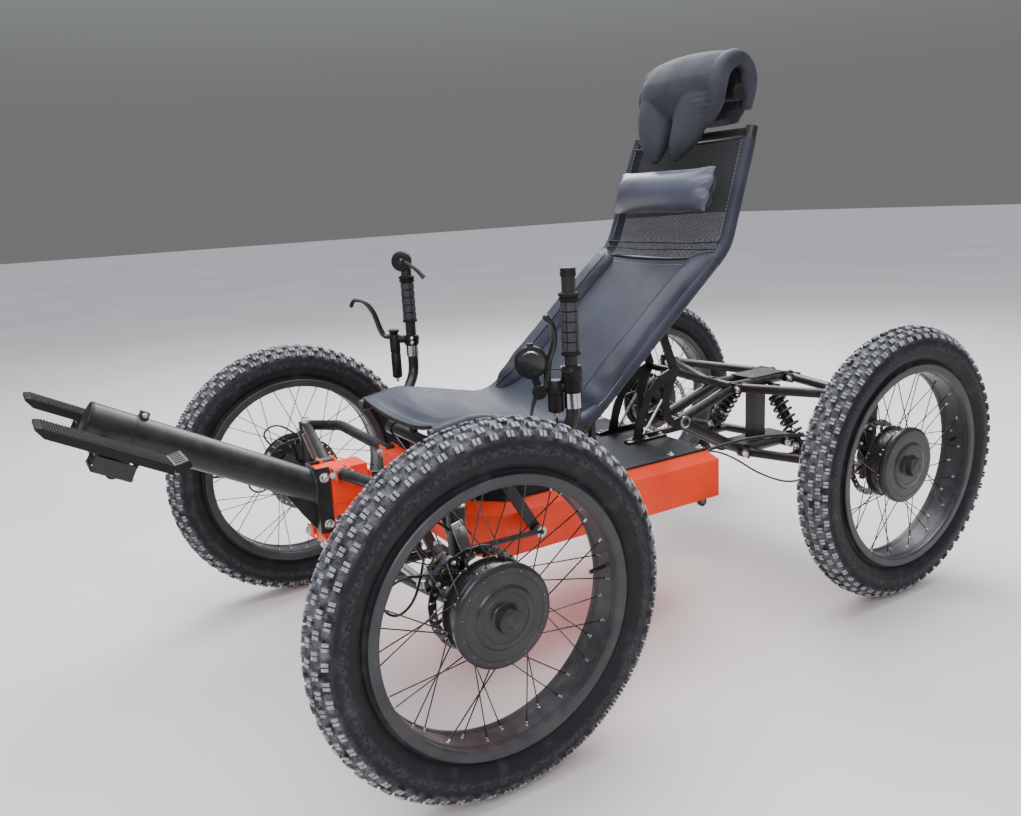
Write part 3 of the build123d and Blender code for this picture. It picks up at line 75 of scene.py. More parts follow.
class Signal:
    """A shader socket that takes part in Python arithmetic."""

    def __init__(self, graph: "Graph", socket: bpy.types.NodeSocket) -> None:
        """Wrap an output socket of the graph."""
        self.graph = graph
        self.socket = socket

    def math(self, operation: str, *others: "Signal | float") -> "Signal":
        """Result of one Math node on this value and its second and third values."""
        return self.graph.node("Math", {"operation": operation}, dict(enumerate((self, *others))))

    def __add__(self, other: "Signal | float") -> "Signal":
        """Sum with a value on the right."""
        return self.math("ADD", other)

    __radd__ = __add__

    def __sub__(self, other: "Signal | float") -> "Signal":
        """Difference with a value on the right."""
        return self.math("SUBTRACT", other)

    def __rsub__(self, other: float) -> "Signal":
        """Difference with a number on the left."""
        return self.graph.node("Math", {"operation": "SUBTRACT"}, {0: other, 1: self})

    def __mul__(self, other: "Signal | float") -> "Signal":
        """Product with a value on the right."""
        return self.math("MULTIPLY", other)

    __rmul__ = __mul__

    def __truediv__(self, other: "Signal | float") -> "Signal":
        """Quotient with a value on the right."""
        return self.math("DIVIDE", other)

    def __rtruediv__(self, other: float) -> "Signal":
        """Quotient with a number on the left."""
        return self.graph.node("Math", {"operation": "DIVIDE"}, {0: other, 1: self})

    def __pow__(self, power: "Signal | float") -> "Signal":
        """Power of the value."""
        return self.math("POWER", power)

    def least(self, other: "Signal | float") -> "Signal":
        """Smaller of the value and another."""
        return self.math("MINIMUM", other)

    def wave(self) -> "Signal":
        """Sine of the value, from 0 to 1."""
        return self.math("SINE") * 0.5 + 0.5

    def ramp(self, low: float, high: float) -> "Signal":
        """Smooth step from 0 at the low value to 1 at the high one."""
        settings = {"interpolation_type": "SMOOTHSTEP"}
        return self.graph.node("MapRange", settings, {"Value": self, "From Min": low, "From Max": high})


class Graph:
    """The node tree of one material or world."""

    def __init__(self, owner: bpy.types.Material | bpy.types.World) -> None:
        """Start with no nodes.

        Args:
            owner: the material or world that the nodes belong to.
        """
        self.owner = owner
        owner.use_nodes = True
        self.tree = owner.node_tree
        self.tree.nodes.clear()

    def node(self, kind: str, settings: dict | None = None, values: dict | None = None,
             output: int | str = 0) -> Signal:
        """Add a node.

        Args:
            kind: the node's type, without the common prefix.
            settings: its properties, or the stops of a ramp.
            values: numbers or signals for its sockets, by name or place.
            output: the output to return, by name or place.

        Returns:
            The chosen output.
        """
        made = self.tree.nodes.new(f"ShaderNode{kind}")
        for key, value in (settings or {}).items():
            if key == "stops":
                self.set_stops(made.color_ramp, value)
            else:
                setattr(made, key, value)
        for key, value in (values or {}).items():
            if isinstance(value, Signal):
                self.tree.links.new(value.socket, made.inputs[key])
            else:
                made.inputs[key].default_value = value
        return Signal(self, made.outputs[output])

    @staticmethod
    def set_stops(ramp: bpy.types.ColorRamp, stops: Sequence[tuple[float, Colour]]) -> None:
        """Give a colour ramp its stops.

        Args:
            ramp: the ramp to fill.
            stops: the place and the colour of each stop, in rising order.
        """
        while len(ramp.elements) < len(stops):
            ramp.elements.new(1)
        for element, (place, colour) in zip(ramp.elements, stops):
            element.position = place
            element.color = (*colour, 1)

    def place(self) -> Signal:
        """Position in the piece's own frame, in metres."""
        return self.node("TexCoord", output="Object")

    def axis(self, which: str, vector: Signal | None = None) -> Signal:
        """One coordinate, X, Y or Z, of a vector or of the place itself."""
        return self.node("SeparateXYZ", None, {0: vector or self.place()}, which)

    def grain(self, scale: float, detail: float = 2, vector: Signal | None = None) -> Signal:
        """Noise from 0 to 1, with so many features per metre and octaves of detail."""
        return self.node("TexNoise", None, {"Vector": vector or self.place(), "Scale": scale,
                                            "Detail": detail})

    def cells(self, scale: float) -> Signal:
        """Soft distance to the nearest of scattered points, so many per metre."""
        values = {"Vector": self.place(), "Scale": scale}
        return self.node("TexVoronoi", {"feature": "SMOOTH_F1"}, values, "Distance")

    def blend(self, first: "Signal | Colour", second: "Signal | Colour", share: Signal | float) -> Signal:
        """Mix of two colours; the share is how much of the second one shows."""
        pair = [value if isinstance(value, Signal) else (*value, 1) for value in (first, second)]
        return self.node("Mix", {"data_type": "RGBA"}, {0: share, 6: pair[0], 7: pair[1]}, 2)

    def bump(self, height: Signal, strength: float, depth: float, under: Signal | None = None) -> Signal:
        """Normal of a surface with a relief.

        Args:
            height: the relief, from 0 to 1.
            strength: how much of it shows.
            depth: its depth in metres.
            under: the normal of a coarser relief below it.

        Returns:
            The bumped normal.
        """
        values = {"Height": height, "Strength": strength, "Distance": depth}
        if under:
            values["Normal"] = under
        return self.node("Bump", None, values)

    def upward(self) -> Signal:
        """How far the surface faces up, from -1 to 1."""
        return self.axis("Z", self.node("NewGeometry", output="Normal"))

    def surface(self, values: dict) -> bpy.types.Material:
        """Finish the material with one shader.

        Args:
            values: numbers, colours or signals for the shader's sockets.

        Returns:
            The material.
        """
        plain = {key: (*value, 1) if isinstance(value, tuple) else value for key, value in values.items()}
        shader = self.node("BsdfPrincipled", None, plain)
        self.finish(shader, "Material")
        return self.owner

    def finish(self, shader: Signal, kind: str) -> None:
        """Link a shader to the output of a material or a world."""
        end = self.tree.nodes.new(f"ShaderNodeOutput{kind}")
        self.tree.links.new(shader.socket, end.inputs["Surface"])


# Finishes


@dataclass(frozen=True)
class Finish:
    """A finish with its plain values and the wear that its nodes add.

    The grain is a fine relief, and the dust a pale film that gathers on faces turned up.
    """

    name: str
    colour: Colour
    roughness: float = 0.5
    metallic: float = 0.0
    coat: float = 0.0
    specular: float = 0.4
    grain: float = 0.15
    grain_scale: float = 900
    dust: float = 0.0
    dust_colour: Colour = (0.3, 0.25, 0.2)
    slot: str = "frame_black"

    def relief(self, graph: Graph) -> Signal:
        """Fine relief of the surface, as a normal."""
        return graph.bump(graph.grain(self.grain_scale, 3), self.grain, 0.0004)

    def tint(self, graph: Graph) -> Signal:
        """Base colour with slow tone changes.

        Args:
            graph: the material's node tree.

        Returns:
            The colour.
        """
        deep = tuple(channel * 0.82 for channel in self.colour)
        pale = tuple(min(1.0, channel * 1.15 + 0.002) for channel in self.colour)
        return graph.blend(deep, pale, graph.grain(9, 4).ramp(0.3, 0.7))

    def film(self, graph: Graph) -> Signal:
        """Share of dust over the surface, from 0 to 1."""
        patches = graph.grain(38, 5).ramp(0.35, 0.75)
        return (graph.upward().ramp(-0.2, 1.0) * 0.7 + 0.3) * patches * self.dust

    def values(self, graph: Graph) -> dict:
        """Sockets of the shader.

        Args:
            graph: the material's node tree.

        Returns:
            The value of each socket by name.
        """
        film = self.film(graph)
        rough = graph.grain(60, 4) * 0.16 + (self.roughness - 0.08)
        return {
            "Base Color": graph.blend(self.tint(graph), self.dust_colour, film),
            "Roughness": rough + film * (0.95 - self.roughness),
            "Metallic": self.metallic,
            "Specular IOR Level": self.specular,
            "Coat Weight": self.coat,
            "Coat Roughness": 0.12,
            "Normal": self.relief(graph),
        }

    def material(self) -> bpy.types.Material:
        """The material of this finish, made once.

        Returns:
            The material.
        """
        found = bpy.data.materials.get(f"{self.name}_made")
        if found:
            return found
        graph = Graph(bpy.data.materials.new(f"{self.name}_made"))
        return graph.surface(self.values(graph))


@dataclass(frozen=True)
class Brushed(Finish):
    """Bare metal with fine scratches and a little tarnish."""

    def relief(self, graph: Graph) -> Signal:
        """Fine crossed scratches, as a normal."""
        across = graph.node("VectorMath", {"operation": "MULTIPLY"}, {0: graph.place(), 1: (1, 12, 1)})
        return graph.bump(graph.grain(420, 3, across), self.grain, 0.0003)


@dataclass(frozen=True)
class Carcass(Finish):
    """Tyre rubber: knob tops and shoulders carry pale dust, the sidewall is smooth and dark."""

    crown: float = 0.297
    section: float = 0.0447

    def values(self, graph: Graph) -> dict:
        """Sockets of the shader.

        Args:
            graph: the material's node tree.

        Returns:
            The value of each socket by name.
        """
        x, y, z = (graph.axis(which) for which in "XYZ")
        radius = (y * y + z * z) ** 0.5
        out = radius - self.crown
        away = (x * x + out * out) ** 0.5
        tops = away.ramp(self.section + 0.005, self.section + 0.0066)
        tread = radius.ramp(0.312, 0.328)
        patches = graph.grain(34, 5).ramp(0.3, 0.68)
        fine = graph.grain(260, 4).ramp(0.3, 0.66)
        worn = tops * tread * (patches * 0.4 + 0.6) * (fine * 0.55 + 0.45)
        gaps = tread * (1 - tops) * (fine * 0.5 + 0.5) * graph.grain(60, 3).ramp(0.25, 0.75) * 0.42
        band = radius.ramp(0.288, 0.296) * (1 - radius.ramp(0.3, 0.312))
        ring = band * graph.grain(170, 4).ramp(0.35, 0.8) * 0.09
        wall = (1 - tread) * graph.grain(22, 4).ramp(0.5, 0.85) * 0.06 + ring
        film = (worn + gaps + wall).least(0.95)
        ribs = (radius * 2 * pi / 0.0021).wave() * (1 - tread)
        relief = graph.bump(ribs, 0.1, 0.0002, graph.bump(graph.grain(800, 4), 0.25, 0.0005))
        return {
            "Base Color": graph.blend(self.colour, self.dust_colour, film),
            "Roughness": graph.grain(50, 4) * 0.12 + 0.5 + film * 0.4,
            "Metallic": 0.0,
            "Specular IOR Level": self.specular,
            "Normal": relief,
        }


@dataclass(frozen=True)
class Hide(Finish):
    """Faux leather with a pebbled grain and a soft sheen."""

    pebble: float = 0.0017

    def relief(self, graph: Graph) -> Signal:
        """Pebbled grain over slow creases, as a normal."""
        slow = graph.bump(graph.grain(26, 4), 0.1, 0.004)
        return graph.bump(graph.cells(1 / self.pebble), self.grain, 0.0004, slow)


@dataclass(frozen=True)
class Knit(Finish):
    """Close knit cloth with fine ribs."""

    pitch: float = 0.0016

    def relief(self, graph: Graph) -> Signal:
        """Crossed ribs of the knit, as a normal.

        Args:
            graph: the material's node tree.

        Returns:
            The normal.
        """
        x, z = graph.axis("X"), graph.axis("Z")
        loops = (x * 2 * pi / self.pitch).wave() * (z * 2 * pi / (self.pitch * 0.8)).wave()
        return graph.bump(loops, self.grain, 0.0006)


@dataclass(frozen=True)
class Netting(Finish):
    """Open mesh cloth: small holes in rows between its threads."""

    pitch: float = 0.0034
    openness: float = 0.5

    def values(self, graph: Graph) -> dict:
        """Sockets of the shader.

        Args:
            graph: the material's node tree.

        Returns:
            The value of each socket by name.
        """
        x, z = graph.axis("X"), graph.axis("Z")
        slant = 2 * pi / self.pitch * 0.7
        holes = ((x + z) * slant).wave() * ((x - z) * slant).wave()
        cloth = 1 - holes.ramp(self.openness, self.openness + 0.12)
        return {**super().values(graph), "Alpha": cloth, "Normal": graph.bump(1 - holes, 0.2, 0.0006)}


class Look(Enum):
    """The finishes of the vehicle."""

    FRAME = Finish("frame_black", (0.01, 0.01, 0.011), 0.38, coat=0.1, grain=0.22, dust=0.1)
    GLOSS = Finish("gloss_black", (0.009, 0.009, 0.01), 0.2, coat=0.5, grain=0.1, dust=0.06,
                   slot="spring_black")
    ORANGE = Finish("case_orange", (1.0, 0.05, 0.01), 0.4, coat=0.1, specular=0.25, grain=0.12, dust=0.04,
                    dust_colour=(0.7, 0.3, 0.2), slot="case_orange")
    DECK = Finish("deck_black", (0.01, 0.011, 0.014), 0.52, specular=0.12, grain=0.3, dust=0.05)
    RIM = Finish("rim_black", (0.034, 0.035, 0.041), 0.38, coat=0.1, specular=0.3, grain=0.12, dust=0.12,
                 slot="rim_black")
    MOTOR = Finish("motor_black", (0.017, 0.017, 0.02), 0.32, coat=0.2, specular=0.3, grain=0.18, dust=0.06,
                   slot="motor_black")
    CALIPER = Finish("caliper_black", (0.013, 0.013, 0.014), 0.34, coat=0.2, grain=0.2, dust=0.1,
                     slot="caliper_black")
    PLASTIC = Finish("control_plastic", (0.009, 0.009, 0.01), 0.46, specular=0.25, grain=0.3,
                     grain_scale=1400, slot="control_plastic")
    SHINY = Finish("shiny_plastic", (0.009, 0.009, 0.01), 0.13, coat=0.7, grain=0.04, slot="control_plastic")
    GRIP = Finish("grip_rubber", (0.01, 0.01, 0.011), 0.62, specular=0.2, grain=0.3, grain_scale=1200,
                  slot="grip_rubber")
    BLOCK = Finish("grip_blocks", (0.04, 0.042, 0.047), 0.66, grain=0.4, grain_scale=1200, dust=0.1,
                   slot="grip_rubber")
    CABLE = Finish("cable_black", (0.01, 0.01, 0.011), 0.38, grain=0.1, slot="control_plastic")
    STEEL = Brushed("linkage_steel", (0.5, 0.5, 0.51), 0.3, 1.0, grain=0.25, dust=0.1, slot="linkage_steel")
    ZINC = Brushed("zinc_plate", (0.66, 0.66, 0.65), 0.3, 1.0, grain=0.25, dust=0.08, slot="linkage_steel")
    CHROME = Brushed("bright_chrome", (0.56, 0.56, 0.59), 0.18, 1.0, grain=0.05, slot="linkage_steel")
    BRASS = Brushed("brass_screw", (0.62, 0.43, 0.16), 0.28, 1.0, grain=0.2, slot="linkage_steel")
    DISC = Brushed("disc_steel", (0.16, 0.16, 0.17), 0.3, 1.0, grain=0.2, dust=0.1, slot="motor_black")
    TYRE = Carcass("tyre_rubber", (0.013, 0.0135, 0.0165), 0.6, specular=0.2, dust_colour=(0.46, 0.47, 0.51),
                   slot="tyre_rubber")
    HIDE = Hide("seat_leather", (0.035, 0.039, 0.056), 0.46, specular=0.18, grain=0.3, slot="seat_leather")
    PIPING = Hide("seat_piping", (0.006, 0.007, 0.009), 0.45, grain=0.2, slot="seat_leather")
    THREAD = Finish("seam_thread", (0.5, 0.51, 0.55), 0.7, grain=0.3, slot="seat_leather")
    NET = Netting("seat_mesh", (0.009, 0.01, 0.014), 0.74, specular=0.2, slot="seat_mesh")
    KNIT = Knit("pillow_knit", (0.032, 0.034, 0.048), 0.7, grain=0.4, slot="pillow_knit")
    SATIN = Hide("pillow_satin", (0.08, 0.088, 0.122), 0.38, coat=0.1, grain=0.15, slot="pillow_knit")
    CASTER = Finish("caster_rubber", (0.03, 0.03, 0.03), 0.55, slot="caster_rubber")
    CELLS = Finish("cell_block", (0.1, 0.14, 0.2), 0.5, slot="cell_block")

    @property
    def material(self) -> bpy.types.Material:
        """The Blender material of this finish."""
        return self.value.material()


# Mesh making


def circle(radius: float, sides: int, start: float = 0.0) -> list[tuple[float, float]]:
    """Points of a circle with so many sides, as pairs; start is the angle of the first."""
    angles = (start + 2 * pi * step / sides for step in range(sides))
    return [(radius * cos(angle), radius * sin(angle)) for angle in angles]


def spread(low: float, high: float, steps: int) -> list[float]:
    """Evenly spaced numbers from one value to another, both counted."""
    return [low + (high - low) * step / steps for step in range(steps + 1)]


def axes_for(direction: Point, hint: Point | None = None) -> Matrix:
    """Rotation whose Z axis lies along a direction.

    Args:
        direction: where Z is to point.
        hint: where X is to point as nearly as it can.

    Returns:
        The rotation as a 4 by 4 matrix.
    """
    z = Vector(direction).normalized()
    x = Vector(hint or ((1, 0, 0) if abs(z.x) < 0.9 else (0, 1, 0)))
    x = (x - z * x.dot(z)).normalized()
    return Matrix((x, z.cross(x), z)).transposed().to_4x4()


def aim(place: Point, direction: Point, hint: Point | None = None) -> Matrix:
    """Frame at a place whose Z axis lies along a direction and X near a hint."""
    return Matrix.Translation(place) @ axes_for(direction, hint)


def placed(name: str, data: bpy.types.ID) -> bpy.types.Object:
    """New object in the scene.

    Args:
        name: its name.
        data: its mesh, curve, lamp or camera.

    Returns:
        The object.
    """
    made = bpy.data.objects.new(name, data)
    bpy.context.scene.collection.objects.link(made)
    return made


def flow(points: Sequence[Point], steps: int = 8) -> list[Vector]:
    """Smooth path through points.

    Args:
        points: the points that it passes.
        steps: the samples from one point to the next.

    Returns:
        The samples.
    """
    line = [Vector(point) for point in points]
    ends = [2 * line[0] - line[1], *line, 2 * line[-1] - line[-2]]
    path = []
    for a, b, c, d in zip(ends, ends[1:], ends[2:], ends[3:]):
        for step in range(steps):
            t = step / steps
            path.append(0.5 * (2 * b + (c - a) * t + (2 * a - 5 * b + 4 * c - d) * t * t
                               + (3 * b - a - 3 * c + d) * t ** 3))
    return [*path, line[-1]]


class Form:
    """The mesh of one piece, gathered shape by shape, in metres."""

    def __init__(self, *looks: Look) -> None:
        """Start an empty form.

        Args:
            looks: the finishes of the piece, by number.
        """
        self.looks = looks
        self.points: list[Vector] = []
        self.faces: list[tuple[int, ...]] = []
        self.skins: list[int] = []

    def add(self, points: Sequence[Point], faces: Sequence[Sequence[int]], at: Matrix | None = None,
            skin: int = 0) -> None:
        """Add a shape.

        Args:
            points: its corners.
            faces: its faces, as numbers of those corners.
            at: where the shape goes.
            skin: the number of its finish.
        """
        first = len(self.points)
        turn = at or Matrix.Identity(4)
        self.points += [turn @ Vector(point) for point in points]
        self.faces += [tuple(first + corner for corner in face) for face in faces]
        self.skins += [skin] * len(faces)

    def loft(self, rings: Sequence[Sequence[Point]], at: Matrix | None = None, skin: int = 0,
             caps: bool = True, closed: bool = False) -> None:
        """Add a skin over rings of equal point counts.

        Args:
            rings: the rings in order.
            at: where the shape goes.
            skin: the number of its finish.
            caps: whether the first and last ring are closed off.
            closed: whether the last ring joins the first.
        """
        count = len(rings[0])
        points = [point for ring in rings for point in ring]
        faces = []
        for row in range(len(rings) if closed else len(rings) - 1):
            low, high = row * count, (row + 1) % len(rings) * count
            for step in range(count):
                after = (step + 1) % count
                faces.append((low + step, low + after, high + after, high + step))
        if caps and not closed:
            faces.append(tuple(reversed(range(count))))
            faces.append(tuple(range((len(rings) - 1) * count, len(rings) * count)))
        self.add(points, faces, at, skin)

    def turn(self, profile: Sequence[tuple[float, float]], at: Matrix, sides: int = 48,
             skin: int = 0) -> None:
        """Add a shape turned about Z from (height, radius) pairs in metres."""
        rings = [[(x, y, height) for x, y in circle(max(radius, 1e-5), sides)] for height, radius in profile]
        self.loft(rings, at, skin)

    def lathe(self, profile: Sequence[tuple[float, float]], at: Matrix, sides: int = 48,
              skin: int = 0) -> None:
        """Add a turned shape from (height, radius) pairs in millimetres."""
        self.turn([(height / 1000, radius / 1000) for height, radius in profile], at, sides, skin)

    def rod(self, start: Point, end: Point, radius: float, skin: int = 0, sides: int = 20) -> None:
        """Add a round bar with softened ends.

        Args:
            start: the middle of one end.
            end: the middle of the other.
            radius: the bar's radius.
            skin: the number of its finish.
            sides: how many sides it has.
        """
        a, b = Vector(start), Vector(end)
        length = (b - a).length
        soft = min(0.0006, radius * 0.4, length * 0.4)
        profile = [(0, radius - soft), (soft, radius), (length - soft, radius), (length, radius - soft)]
        self.turn(profile, aim(a, b - a), sides, skin)

    def box(self, middle: Point, size: Point, at: Matrix | None = None, skin: int = 0,
            soft: float = 0.001) -> None:
        """Add a box with softened edges.

        Args:
            middle: its centre.
            size: its three side lengths.
            at: where the shape goes, after its own centre.
            skin: the number of its finish.
            soft: the width of the softened edges.
        """
        hx, hy, hz = (side / 2 for side in size)
        soft = min(soft, hx * 0.45, hy * 0.45, hz * 0.45)
        rings = []
        for z, inset in ((-hz, soft), (soft - hz, 0), (hz - soft, 0), (hz, soft)):
            x, y, cut = hx - inset, hy - inset, soft
            rings.append([
                (x, cut - y, z), (x, y - cut, z), (x - cut, y, z), (cut - x, y, z),
                (-x, y - cut, z), (-x, cut - y, z), (cut - x, -y, z), (x - cut, -y, z),
            ])
        self.loft(rings, (at or Matrix.Identity(4)) @ Matrix.Translation(Vector(middle)), skin)

    def plate(self, outline: Sequence[tuple[float, float]], thickness: float, at: Matrix, skin: int = 0,
              soft: float = 0.0008) -> None:
        """Add a flat plate of any convex or mildly hollow outline, from Z 0 upward.

        Args:
            outline: its corners, anticlockwise.
            thickness: how thick it is.
            at: where the shape goes.
            skin: the number of its finish.
            soft: the width of the softened edges.
        """
        middle = Vector((sum(x for x, _ in outline), sum(y for _, y in outline))) / len(outline)
        rings = []
        for z, inset in ((0, soft), (soft, 0), (thickness - soft, 0), (thickness, soft)):
            ring = []
            for x, y in outline:
                away = Vector((x, y)) - middle
                length = max(away.length, 1e-6)
                moved = middle + away * max(0.0, 1 - inset / length)
                ring.append((moved.x, moved.y, z))
            rings.append(ring)
        self.loft(rings, at, skin)

    def tube(self, path: Sequence[Point], radius: float | Sequence[float], sides: int = 12, skin: int = 0,
             closed: bool = False) -> None:
        """Add a round tube along a path.

        Args:
            path: the points of its middle line.
            radius: its radius, or one radius for each point.
            sides: how many sides it has.
            skin: the number of its finish.
            closed: whether the path runs back to its start.
        """
        line = [Vector(point) for point in path]
        count = len(line)
        radii = list(radius) if isinstance(radius, Sequence) else [radius] * count
        rings = []
        across = None
        for index, point in enumerate(line):
            before = line[(index - 1) % count] if closed or index else point
            after = line[(index + 1) % count] if closed or index < count - 1 else point
            along = (after - before).normalized()
            if across is None:
                across = axes_for(along).col[0].to_3d()
            across = (across - along * across.dot(along)).normalized()
            side = along.cross(across)
            rings.append([point + across * x + side * y for x, y in circle(radii[index], sides)])
        self.loft(rings, None, skin, True, closed)

    def bolt(self, seat: Point, out: Point, radius: float = 0.005, height: float = 0.004, skin: int = 0,
             washer: float = 1.6, sides: int = 6) -> None:
        """Add a screw head or nut on its washer.

        Args:
            seat: the middle of the face that it sits on.
            out: the direction that it stands out in.
            radius: the head's radius.
            height: the head's height.
            skin: the number of its finish.
            washer: the washer's radius over the head's, or 0 for none.
            sides: 6 for a nut, more for a round head.
        """
        place = aim(Vector(seat), Vector(out))
        base = 0.0
        if washer:
            base = 0.0012
            self.turn([(-0.0004, radius * washer), (base - 0.0003, radius * washer),
                       (base, radius * washer - 0.0004)], place, 20, skin)
        if sides <= 6:
            profile = [(base, radius), (base + height * 0.8, radius), (base + height, radius * 0.84)]
            self.turn(profile, place, sides, skin)
            self.turn([(base + height, radius * 0.5), (base + height * 1.35, radius * 0.48)], place, 12,
                      skin)
        else:
            profile = [(base, radius), (base + height * 0.45, radius), (base + height * 0.85, radius * 0.8),
                       (base + height, radius * 0.45), (base + height * 0.62, radius * 0.42)]
            self.turn(profile, place, sides, skin)

    def opposite(self) -> "Form":
        """The mirror image of the form, for the other side of the vehicle.

        Returns:
            The mirror image.
        """
        other = Form(*self.looks)
        other.points = [Vector((-point.x, point.y, point.z)) for point in self.points]
        other.faces = [face[::-1] for face in self.faces]
        other.skins = list(self.skins)
        return other

    def mirrored(self) -> "Form":
        """The form with its mirror image on the other side of the vehicle.

        Returns:
            The form itself.
        """
        other = self.opposite()
        self.add(other.points, other.faces)
        self.skins[-len(other.skins):] = other.skins
        return self

    def strip(self, start: Point, end: Point, width: float, thickness: float, skin: int = 0) -> None:
        """Add a flat bar whose face is turned to the side of the vehicle.

        Args:
            start: the middle of one end.
            end: the middle of the other.
            width: the bar's width.
            thickness: its thickness.
            skin: the number of its finish.
        """
        a, b = Vector(start), Vector(end)
        place = aim((a + b) / 2, b - a, (1, 0, 0))
        self.box((0, 0, 0), (thickness, width, (b - a).length), place, skin)

    def sector(self, place: Matrix, span: tuple[float, float], rise: tuple[float, float],
               depth: tuple[float, float], skin: int = 0) -> None:
        """Add a block that follows a round bar along Z.

        Args:
            place: where the bar's middle line goes.
            span: its first and last angle.
            rise: its lower and upper end.
            depth: its inner and outer radius.
            skin: the number of its finish.
        """
        (low, high), (inner, outer) = rise, depth
        soft = (outer - inner) * 0.4
        section = ((inner, low), (outer - soft, low), (outer, low + soft), (outer, high - soft),
                   (outer - soft, high), (inner, high))
        rings = []
        for angle in spread(*span, 4):
            rings.append([(radius * cos(angle), radius * sin(angle), z) for radius, z in section])
        self.loft(rings, place, skin)

    def mesh(self, name: str, crease: float = 38) -> bpy.types.Mesh:
        """The Blender mesh of the form.

        Args:
            name: the mesh's name.
            crease: the angle in degrees above which an edge stays sharp.

        Returns:
            The mesh with its materials.
        """
        data = bpy.data.meshes.new(name)
        data.from_pydata(self.points, [], self.faces)
        for look in self.looks:
            data.materials.append(look.material)
        data.polygons.foreach_set("material_index", self.skins)
        data.shade_smooth()
        data.set_sharp_from_angle(angle=radians(crease))
        data.validate()
        data.update()
        return data

    def piece(self, name: str, body: str, *nodes: str, crease: float = 38) -> bpy.types.Object:
        """Put the form in the scene on its body, in place of some nodes."""
        return stand(self.mesh(name, crease), name, body, nodes)

    def sides(self, name: str, body: str, *nodes: str) -> None:
        """Put the form on the left and its mirror image on the right."""
        for side, form in (("left", self), ("right", self.opposite())):
            form.piece(f"{name}_{side}", f"{body}_{side}", *(f"{node}_{side}" for node in nodes))


def stand(data: bpy.types.Mesh, name: str, body: str, nodes: Sequence[str] = (),
          at: Matrix | None = None) -> bpy.types.Object:
    """Put a mesh in the scene on its body.

    Args:
        data: the mesh.
        name: the piece's name.
        body: the body that it rides on.
        nodes: the nodes that it stands for.
        at: where the object goes.

    Returns:
        The object.
    """
    made = placed(name, data)
    if at:
        made.matrix_world = at
    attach(made, body)
    if nodes:
        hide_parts(*nodes)
    return made


def dress(look: Look, *nodes: str, crease: float = 32) -> None:
    """Give nodes of the frame their finish.

    Args:
        look: the finish.
        nodes: the nodes that get it.
        crease: the angle in degrees above which an edge stays sharp.
    """
    for name in nodes:
        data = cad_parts[name].data
        data.materials.clear()
        data.materials.append(look.material)
        data.shade_smooth()
        data.set_sharp_from_angle(angle=radians(crease))


# Wheels


@dataclass
class Tyre:
    """Fat off-road tyre: a smooth carcass with rows of split knobs."""

    crown_radius: float = 0.297
    section_radius: float = 0.0447
    knob_height: float = 0.007
    pitches: int = 64
    bead: float = 0.0345
    foot: float = 0.243

    def carcass(self, form: Form) -> None:
        """Add the casing from bead to bead.

        Args:
            form: the form that takes it.
        """
        rings, reach, sides = [], radians(138), 144
        section = [(self.bead, self.foot)]
        for angle in spread(reach, -reach, 26):
            section.append((self.section_radius * sin(angle) * 1.02,
                            self.crown_radius + self.section_radius * cos(angle)))
        section.append((-self.bead, self.foot))
        for x, radius in section:
            rings.append([(x, a, b) for a, b in circle(radius, sides)])
        form.loft(rings, caps=False, closed=True)

    def knob(self, form: Form, turn: float, tilt: float, size: tuple[float, float]) -> None:
        """Add one bar of a knob.

        Args:
            form: the form that takes it.
            turn: its angle round the wheel.
            tilt: its angle across the section, from the crown.
            size: its length round the wheel and its width across.
        """
        tall = self.knob_height
        length, width = size
        base, flare = self.section_radius - 0.0015, 1.22
        rings = []
        for z, share in ((0, flare), (tall + 0.0005, 0.96), (tall + 0.0015, 0.84)):
            x, y = length * share / 2, width * share / 2
            rings.append([(x, y, z), (-x, y, z), (-x, -y, z), (x, -y, z)])
        place = (
            Matrix.Rotation(turn, 4, "X")
            @ Matrix.Translation((0, 0, self.crown_radius))
            @ Matrix.Rotation(tilt, 4, "Y")
            @ Matrix.Translation((0, 0, base))
            @ Matrix.Rotation(pi / 2, 4, "Z")
        )
        form.loft(rings, place)

    def form(self) -> Form:
        """The whole tyre about its own centre.

        Returns:
            The tyre.
        """
        form = Form(Look.TYRE)
        self.carcass(form)
        pitch = 2 * pi / self.pitches
        # Rows from the shoulder in: tilt, shift round the wheel, a bar's length and width, half the spacing
        rows = (
            (53, 0.0, 0.0062, 0.0118, 0.0041),
            (33, 0.5, 0.0063, 0.0114, 0.0041),
            (14, 0.0, 0.0063, 0.011, 0.0041),
        )
        for number in range(self.pitches):
            for side in (1, -1):
                for tilt, shift, length, width, apart in rows:
                    turn = (number + shift + 0.25 * (side > 0)) * pitch
                    reach = self.crown_radius + self.section_radius * cos(radians(tilt))
                    for way in (1, -1):
                        self.knob(form, turn + way * apart / reach, side * radians(tilt), (length, width))
        return form


